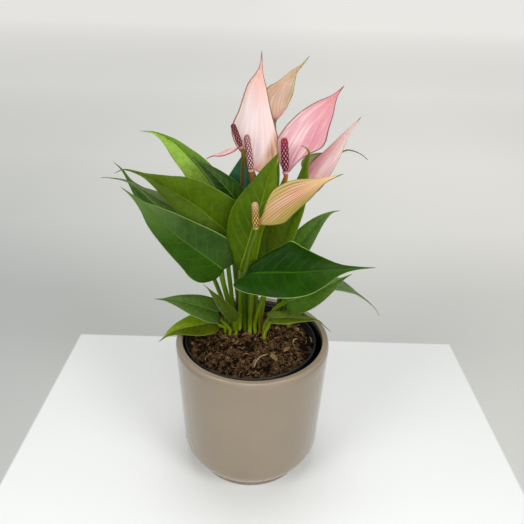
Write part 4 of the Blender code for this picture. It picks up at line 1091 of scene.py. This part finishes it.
class ANTHURIUM_OT_potting_mix(bpy.types.Operator):
    """Fill the nursery pot with coir mix, and strew its top with crumbs, chips and fibres"""

    bl_idname = "anthurium.potting_mix"
    bl_label = "Potting mix"

    def execute(self, context):
        settings = context.scene.anthurium_mix
        rng = np.random.default_rng(settings.seed)
        low, high = (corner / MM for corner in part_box("soil"))
        # It comes nearer to the pot's wall than the solid does, so that no gap shows. Its side
        # follows that wall, and its top is flat rings until it is shaped.
        radius = (high.x - low.x) / 2 + 0.6
        base, rings, sides = 40.5, 46, 150
        profile = [(base, low.z), (radius - 0.6, SOIL_TOP - 4), (radius - 0.2, SOIL_TOP)]
        profile += [(radius * k / rings, SOIL_TOP) for k in range(rings - 1, 0, -1)]
        ground = turned("mix_ground", profile, sides, (NURSERY_X, NURSERY_Y))
        for vertex in ground.data.vertices:
            x, y, z = vertex.co / MM
            if z > SOIL_TOP - 1:
                vertex.co.z = ground_height(x, y) * MM
        dressed(smooth_shaded(ground), coir("coir_ground", ("0a0604", "24180d", "523a22",
                                                            "7e6240"), 2.4))
        seated(ground, "potting_mix", "soil")
        self.strew_chips(settings.chips, rng, radius)
        self.strew_fibres(settings.fibres, rng, radius)
        self.lay_roots()
        return {"FINISHED"}

    def somewhere(self, rng, reach):
        """A place on the mix drawn by chance, no further from its middle than this."""
        away, angle = reach * math.sqrt(rng.uniform()), rng.uniform(0, 2 * math.pi)
        return np.array([NURSERY_X + away * math.cos(angle), NURSERY_Y + away * math.sin(angle)])

    def strew_chips(self, count, rng, radius):
        """Crumbs and chips: one rough lump, copied, squashed and turned."""
        points, faces, tones = [], [], []
        deselect()
        bpy.ops.mesh.primitive_ico_sphere_add(subdivisions=2, radius=1)
        lump = bpy.context.object
        corners = np.array([v.co for v in lump.data.vertices])
        sides = [tuple(f.vertices) for f in lump.data.polygons]
        bpy.data.objects.remove(lump)
        for _ in range(count):
            x, y = self.somewhere(rng, radius * 0.97)
            # Most are about 1 mm in radius, and a few far larger.
            size = rng.gamma(3.0, 0.30) + 0.4
            stretch = np.array([rng.uniform(0.8, 1.7), rng.uniform(0.6, 1.0),
                                rng.uniform(0.35, 0.8)])
            rough = 1 + 0.28 * rng.standard_normal((len(corners), 1))
            turn = np.linalg.qr(rng.standard_normal((3, 3)))[0]
            shape = corners * rough * stretch * size @ turn * (1, 1, 0.75)
            start = len(points)
            points += list(shape + (x, y, ground_height(x, y) + 0.25 * size))
            faces += [tuple(start + v for v in side) for side in sides]
            tones += [rng.uniform()] * len(sides)
        chips = self.loose("mix_crumbs", points, faces, tones, CRUMBS, 1.67)
        seated(smooth_shaded(chips, 45), "potting_mix")

    def strew_fibres(self, count, rng, radius):
        """Loose coir fibres: thin curly threads that lie on the crumbs, most of them fine."""
        points, faces, tones = [], [], []
        steps = 9
        middle = (steps - 1) / 2
        for _ in range(count):
            at = self.somewhere(rng, radius * 0.95)
            heading, turn = rng.uniform(0, 2 * math.pi), rng.normal(0, 0.4)
            step, thick = rng.uniform(0.5, 1.7), 0.11 + rng.gamma(1.5, 0.06)
            start = len(points)
            for k in range(steps):
                if np.hypot(at[0] - NURSERY_X, at[1] - NURSERY_Y) > radius - 1:
                    at = at * 0.98
                # Its ends lie 0.7 mm over the ground, and its middle arches as much again.
                z = ground_height(*at) + 0.7 + 0.7 * math.sin(k * math.pi / (steps - 1))
                ahead = np.array([math.cos(heading), math.sin(heading)])
                aside = np.array([-ahead[1], ahead[0]])
                width = thick * (1 - 0.8 * abs(k - middle) / middle)
                points += [(*(at + aside * width), z), (*(at - aside * width), z),
                           (*at, z + width * 1.4)]
                at = at + ahead * step
                heading += turn + rng.normal(0, 0.25)
            for low in range(start, start + 3 * (steps - 1), 3):
                faces += [(low + i, low + (i + 1) % 3, low + 3 + (i + 1) % 3, low + 3 + i)
                          for i in range(3)]
            last = len(points)
            faces += [(start + 2, start + 1, start), (last - 3, last - 2, last - 1)]
            tones += [rng.uniform()] * (3 * (steps - 1) + 2)
        fibres = self.loose("mix_fibres", points, faces, tones, FIBRES, 5)
        seated(smooth_shaded(fibres), "potting_mix")

    def lay_roots(self):
        """What lies at the plant's crown: pale air roots, a cut stub and a dead stalk."""
        skins = {"pale": plain_living("air_root_skin", "b8a888", "c8b898", 120, 130, 0.6),
                 "dead": plain_living("dead_stalk_skin", "6a4838", "8c6450", 120, 135, 0.7)}
        count = 16
        taper = np.interp(np.linspace(0, 1, count), [0, 0.15, 0.85, 1], [0.7, 1.0, 0.9, 0.5])
        for number, (path, radius, skin) in enumerate(ROOTS, 1):
            path = [(x, y, ground_height(x, y) + up) for x, y, up in path]
            piece = stalk(f"crown_root_{number}", smooth_curve(path, count), radius * taper, 8)
            seated(dressed(piece, skins[skin]), "potting_mix")

    def loose(self, name, points, faces, tones, coirs, size):
        """One piece of many small closed shapes, each in the coir whose share its tone is in."""
        mesh = bpy.data.meshes.new(name)
        mesh.from_pydata((np.array(points) * MM).tolist(), [], faces)
        obj = bpy.data.objects.new(name, mesh)
        bpy.context.scene.collection.objects.link(obj)
        dressed(cleaned(obj), *(coir(label, hexes, size) for label, hexes, _ in coirs))
        limits = [limit for _, _, limit in coirs[:-1]]
        mesh.polygons.foreach_set("material_index", np.digitize(tones, limits).tolist())
        return obj


def leaf_relief(leaf, settings, rng):
    """Height over the flat blade: its halves fold up and arch, sink at the midrib and the
    side veins, and wave at the edge."""
    rise, run = math.sin(math.radians(leaf.fold)), math.cos(math.radians(leaf.fold))
    phases = rng.uniform(0, 2 * math.pi, 4)

    def relief(distance, widest, share, side, row):
        lift = (np.sqrt(distance ** 2 + 1.0) - 1.0) * rise
        # Where a blade is broad, its halves arch by 0.9 mm and turn down at the edge.
        broad = np.clip(widest / 12, 0, 1)
        lift += 0.9 * np.sin(math.pi * share) * broad
        lift -= 0.8 * share ** 5 * broad
        # Two waves run along the edge, a long and a short one.
        edge = np.sin(2 * math.pi * 1.3 * row + phases[0] + side) * 0.7
        edge += np.sin(2 * math.pi * 2.9 * row + phases[1] - side) * 0.3
        lift += settings.wave / MM * share ** 2 * edge * broad
        # The midrib is sunk by 0.35 mm and the side veins by 0.22 mm.
        lift -= 0.35 * np.exp(-(distance / 0.8) ** 2)
        phase = (row - VEIN_SWEEP * share ** VEIN_BOW) * settings.vein_pairs * 2 * math.pi
        lift -= 0.22 * np.clip(np.cos(phase), 0, 1) ** 4 * np.sin(math.pi * share) * broad
        return distance * run, lift

    return relief


class ANTHURIUM_OT_leaves(bpy.types.Operator):
    """Grow every leaf: its blade, its midrib and its petiole"""

    bl_idname = "anthurium.leaves"
    bl_label = "Leaves"

    def execute(self, context):
        settings = context.scene.anthurium_leaf
        rng = np.random.default_rng(settings.seed)
        petiole = plain_living("petiole_skin", "7c8e14", "587a08", 122, 168)
        for leaf in LEAVES:
            look = LEAF_LOOKS[leaf.name]
            # The rim's finish takes the rim colour: a paler margin brightened into a painted
            # highlight.
            finishes = [leaf_blade(leaf.name, look, settings),
                        leaf_back(leaf.name, look, settings),
                        plain_living(leaf.name + "_rim", look.rim, look.rim, 100, 300)]
            top = blade(leaf.name + "_blade", leaf, leaf.rib, edges_of(leaf, LEAF_OUTLINE),
                        leaf_relief(leaf, settings, rng), (64, 16), settings.thickness,
                        finishes)
            stem = dressed(self.petiole(leaf), petiole)
            seated(joined(leaf.name + "_grown", top, stem), leaf.slot, leaf.name)
        return {"FINISHED"}

    def petiole(self, leaf):
        """A leaf's stalk, thicker at both ends, which runs on under the blade as a keel."""
        line, _, _, up = blade_frames(leaf.rib, leaf.face, 33)
        keel = np.linspace(leaf.stalk * 0.7, 0.22, 28)
        end = line[1] - up[1] * (keel[0] + 0.3)
        path = stem_path(leaf.hole, leaf.bend, end, end - (*leaf.hole, SOIL_TOP))
        radii = np.full(30, leaf.stalk)
        radii[-4:] *= [1.06, 1.14, 1.12, 1.0]
        radii[:4] *= [1.15, 1.12, 1.08, 1.03]
        under = line[3:31] - up[3:31] * (keel + 0.1)[:, None]
        return stalk(leaf.name + "_petiole", np.vstack([smooth_curve(path, 30), under]),
                     np.concatenate([radii, keel]), 12)


def spathe_relief(bloom):
    """Height over a flat spathe: its halves fold up a little and roll forward at the edge."""
    rise, run = math.sin(math.radians(bloom.fold)), math.cos(math.radians(bloom.fold))

    def relief(distance, widest, share, *_):
        lift = (np.sqrt(distance ** 2 + 9.0) - 3.0) * rise + 4.0 * share ** 2 * widest / 20
        # A ripple of 0.1 mm runs along it, but not on its narrow tip.
        wide = np.clip(widest / 12 - 0.3, 0.0, 1.0)
        lift += 0.10 * wide * np.cos(share * 11 * math.pi) * np.sin(math.pi * share)
        return distance * run, lift

    return relief


class ANTHURIUM_OT_peduncles(bpy.types.Operator):
    """Grow the stalk of every bloom"""

    bl_idname = "anthurium.peduncles"
    bl_label = "Peduncles"

    def execute(self, context):
        for bloom in BLOOMS:
            skin, height, up = SKINS[bloom.name], bloom.joint[2], unit(bloom.spike)
            foot = bloom.joint - up * 1.1
            path = stem_path(bloom.hole, bloom.bend, foot - up * 4,
                             foot - (*bloom.hole, SOIL_TOP))
            count = 44
            radii = bloom.stalk * np.interp(np.linspace(0, 1, count), [0, 0.1, 0.9, 1],
                                            [1.2, 1.0, 0.95, 1.1])
            piece = stalk(bloom.name + "_peduncle_grown", smooth_curve([*path, foot], count),
                          radii, 12)
            # Its colour turns over the 60 mm under the bloom.
            dressed(piece, plain_living(bloom.name + "_peduncle_skin", skin.stalk_low,
                                        skin.stalk_high, height - 60, height - 5))
            seated(piece, "peduncle", bloom.name + "_peduncle")
        return {"FINISHED"}


class ANTHURIUM_OT_spathes(bpy.types.Operator):
    """Open the spathe of every bloom, with its collar on the peduncle"""

    bl_idname = "anthurium.spathes"
    bl_label = "Spathes"

    def execute(self, context):
        settings = context.scene.anthurium_bloom
        for bloom in BLOOMS:
            name, skin = bloom.name, SKINS[bloom.name]
            up = unit(bloom.spike)
            front = unit(bloom.face - up * (bloom.face @ up))
            finishes = [spathe_skin(name, skin, False), spathe_skin(name, skin, True),
                        plain_living(name + "_rim", skin.outline, skin.outline, 260, 350)]
            sheet = blade(name + "_sheet", bloom, [bloom.joint - front * 2.8, *bloom.rib],
                          edges_of(bloom, SPATHE_OUTLINE), spathe_relief(bloom), (72, 18),
                          settings.thickness, finishes)
            ends = [bloom.joint + up * height for height in (-0.9, -0.5, 0.5, 0.9)]
            collar = stalk(name + "_collar", ends, [2.0, 2.6, 2.6, 2.2], 16)
            dressed(collar, plain_living(name + "_collar_skin", skin.foot, skin.foot, 260, 350))
            seated(joined(name + "_spathe_grown", sheet, collar),
                   name.replace("bloom", "spathe"), name + "_spathe")
        return {"FINISHED"}


class ANTHURIUM_OT_spadices(bpy.types.Operator):
    """Grow the spadix of every bloom, with its spiral of florets"""

    bl_idname = "anthurium.spadices"
    bl_label = "Spadices"

    def execute(self, context):
        settings = context.scene.anthurium_bloom
        for bloom in BLOOMS:
            piece = self.spike(bloom, settings)
            dressed(piece, spadix_florets(bloom.name + "_florets", SKINS[bloom.name]))
            seated(piece, bloom.name.replace("bloom", "spadix"), bloom.name + "_spadix")
        return {"FINISHED"}

    def spike(self, bloom, settings):
        """A tapered spike, whose surface stands out in a lattice of diamond florets."""
        around, grain = settings.florets, 10
        pitch = 2 * math.pi * bloom.spike_radius / around
        turns = max(3, round(bloom.spike_length / (pitch * 1.75)))
        obj, turn, rise = flat_grid(bloom.name + "_spadix_grown", around * grain, turns * grain)
        # Two families of spirals cross and leave a floret in each of their diamonds.
        spiral, counter = turn * around + rise * turns, turn * around - rise * turns
        floret = np.abs(np.sin(math.pi * spiral) * np.sin(math.pi * counter)) ** 0.5
        # The spike swells from its foot, tapers, and closes in a dome.
        radius = bloom.spike_radius * (0.62 + 0.38 * np.minimum(1, rise / 0.18))
        radius *= 1 - 0.14 * rise
        dome_start = 0.86
        dome = np.sqrt(np.clip(1 - ((rise - dome_start) / (1 - dome_start)) ** 2, 0, 1))
        radius = np.where(rise > dome_start, radius * dome, radius)
        closing = np.clip(radius / bloom.spike_radius * 2, 0, 1)
        radius = radius + (floret - 0.5) * settings.relief / MM * closing
        radius[(rise < 1e-6) | (rise > 1 - 1e-6)] = 0.0
        up = unit(bloom.spike)
        across = unit(np.cross(up, (0.0, 1.0, 0.2)))
        other = np.cross(up, across)
        angle = 2 * math.pi * turn
        points = bloom.joint + up * 1.1 + up * (rise * (bloom.spike_length + 0.4))[:, None]
        points += across * (radius * np.cos(angle))[:, None]
        points += other * (radius * np.sin(angle))[:, None]
        shade = obj.data.attributes.new("floret", "FLOAT", "POINT")
        shade.data.foreach_set("value", (floret ** 2).astype(np.float32))
        return smooth_shaded(cleaned(shaped(obj, points), 0.005))


class ANTHURIUM_OT_stage(bpy.types.Operator):
    """Set the pale floor, the soft lights and the camera"""

    bl_idname = "anthurium.stage"
    bl_label = "Stage"

    def execute(self, context):
        settings = context.scene.anthurium_stage
        deselect()
        bpy.ops.mesh.primitive_plane_add(size=60)
        floor = dressed(placed(named("pale_floor")), self.floor_finish(settings))
        for name, place, size, share in LAMPS:
            self.area_light(name, place, size, settings.light * share)
        world = bpy.data.worlds.new("studio")
        context.scene.world = world
        world.use_nodes = True
        background = world.node_tree.nodes["Background"]
        background.inputs["Color"].default_value = linear("f0efec")
        background.inputs["Strength"].default_value = 0.22
        context.scene.view_settings.view_transform = "Standard"
        camera = bpy.data.objects.new("camera", bpy.data.cameras.new("camera"))
        context.scene.collection.objects.link(camera)
        camera.data.lens = settings.lens
        camera.data.sensor_width = 36.0
        camera.data.clip_end = 100.0
        camera.location = (0.0065, -0.400, 0.4107)
        # It looks ahead and down, turned a little in its own plane.
        pitch, roll = math.radians(62.8), math.radians(1.6)
        turn = Matrix.Rotation(pitch, 3, "X") @ Matrix.Rotation(roll, 3, "Z")
        camera.rotation_euler = turn.to_euler()
        context.scene.camera = camera
        return {"FINISHED"}

    def floor_finish(self, settings):
        """A painted white table top that ends at a straight edge behind the pot, with the pale
        grey ground beyond it. Light and shade are painted in: the ground darker to the left and
        near the table's edge, and the table paler toward the front."""
        made, tree = new_material("painted_floor", roughness=0.5, emission_strength=1.0)
        place = add(tree, "TexCoord", out="Object")
        x = add(tree, "SeparateXYZ", {0: place})
        y = x.node.outputs[1]
        middle, side_edge, back_edge = 0.0135, 0.24, 0.18
        centred = add(tree, "Math", {0: x, 1: middle}, operation="SUBTRACT")
        reach = add(tree, "Math", {0: centred}, operation="ABSOLUTE")
        back = add(tree, "MapRange", {0: y, 1: back_edge - MM, 2: back_edge + MM})
        beside = add(tree, "MapRange", {0: reach, 1: side_edge - 2 * MM, 2: side_edge})
        beyond = add(tree, "Math", {0: back, 1: beside}, operation="MAXIMUM")
        # Painted shade: the ground darker to the left.
        wide = add(tree, "MapRange", {0: x, 1: -0.5, 2: 0.6})
        ground = add(tree, "ValToRGB", {"Fac": wide}, stops=[
            (0.0, linear("c7cbc8")), (1.0, linear("ecebe6"))])
        # Painted shade: the ground darker near the table's edge.
        near = add(tree, "MapRange", {0: y, 1: back_edge, 2: 0.55, 3: 0.78, 4: 1.0})
        ground = add(tree, "Mix", {0: 1.0, 6: ground, 7: near}, **TINT)
        # Painted light: the table paler toward the front.
        front = add(tree, "MapRange", {0: y, 1: 0.05, 2: -0.3, 3: 0.95, 4: 1.06})
        table = add(tree, "Mix", {0: 1.0, 6: (*settings.floor_colour, 1.0), 7: front}, **TINT)
        colour = add(tree, "Mix", {0: beyond, 6: table, 7: ground}, **RGBA)
        # Painted light: the ground glows a little toward the horizon, standing in for a lit
        # room.
        far = add(tree, "MapRange", {0: y, 1: 0.3, 2: 6.0})
        glow = add(tree, "ValToRGB", {"Fac": far}, stops=[
            (0.0, 0.04), (0.12, linear("93918e")), (0.3, linear("b7b6b3")),
            (1.0, linear("d4d2cf"))])
        return linked(made, base_color=colour, emission_color=glow)

    def area_light(self, name, place, size, power):
        """A round soft light, turned to the middle of the plant."""
        light = bpy.data.lights.new(name, "AREA")
        light.shape = "DISK"
        light.size = size
        light.energy = power
        lamp = bpy.data.objects.new(name, light)
        bpy.context.scene.collection.objects.link(lamp)
        lamp.location = place
        aim = Vector((0, 0, 0.18)) - lamp.location
        lamp.rotation_euler = aim.to_track_quat("-Z", "Y").to_euler()


class ANTHURIUM_PT_sidebar(bpy.types.Panel):
    """The plant's pieces and their settings"""

    bl_label = "Anthurium"
    bl_space_type = "VIEW_3D"
    bl_region_type = "UI"
    bl_category = "Anthurium"

    def draw(self, context):
        for group in GROUPS:
            settings = getattr(context.scene, "anthurium_" + group)
            box = self.layout.box()
            for field in settings.bl_rna.properties:
                if field.identifier not in ("rna_type", "name"):
                    box.prop(settings, field.identifier)
        for operator in OPERATORS:
            self.layout.operator(operator.bl_idname)


GROUPS = {"pot": PotSettings, "leaf": LeafSettings, "bloom": BloomSettings,
          "mix": MixSettings, "stage": StageSettings}
OPERATORS = [ANTHURIUM_OT_cover_pot, ANTHURIUM_OT_nursery_pot, ANTHURIUM_OT_potting_mix,
             ANTHURIUM_OT_leaves, ANTHURIUM_OT_peduncles, ANTHURIUM_OT_spathes,
             ANTHURIUM_OT_spadices, ANTHURIUM_OT_stage]


def register():
    for group in GROUPS.values():
        bpy.utils.register_class(group)
    for name, group in GROUPS.items():
        setattr(bpy.types.Scene, "anthurium_" + name, bpy.props.PointerProperty(type=group))
    for operator in OPERATORS:
        bpy.utils.register_class(operator)
    bpy.utils.register_class(ANTHURIUM_PT_sidebar)


def unregister():
    bpy.utils.unregister_class(ANTHURIUM_PT_sidebar)
    for operator in reversed(OPERATORS):
        bpy.utils.unregister_class(operator)
    for name, group in GROUPS.items():
        delattr(bpy.types.Scene, "anthurium_" + name)
        bpy.utils.unregister_class(group)


def main():
    register()
    bpy.ops.anthurium.cover_pot()
    bpy.ops.anthurium.nursery_pot()
    bpy.ops.anthurium.potting_mix()
    bpy.ops.anthurium.leaves()
    bpy.ops.anthurium.peduncles()
    bpy.ops.anthurium.spathes()
    bpy.ops.anthurium.spadices()
    bpy.ops.anthurium.stage()


if __name__ == "__main__":
    main()
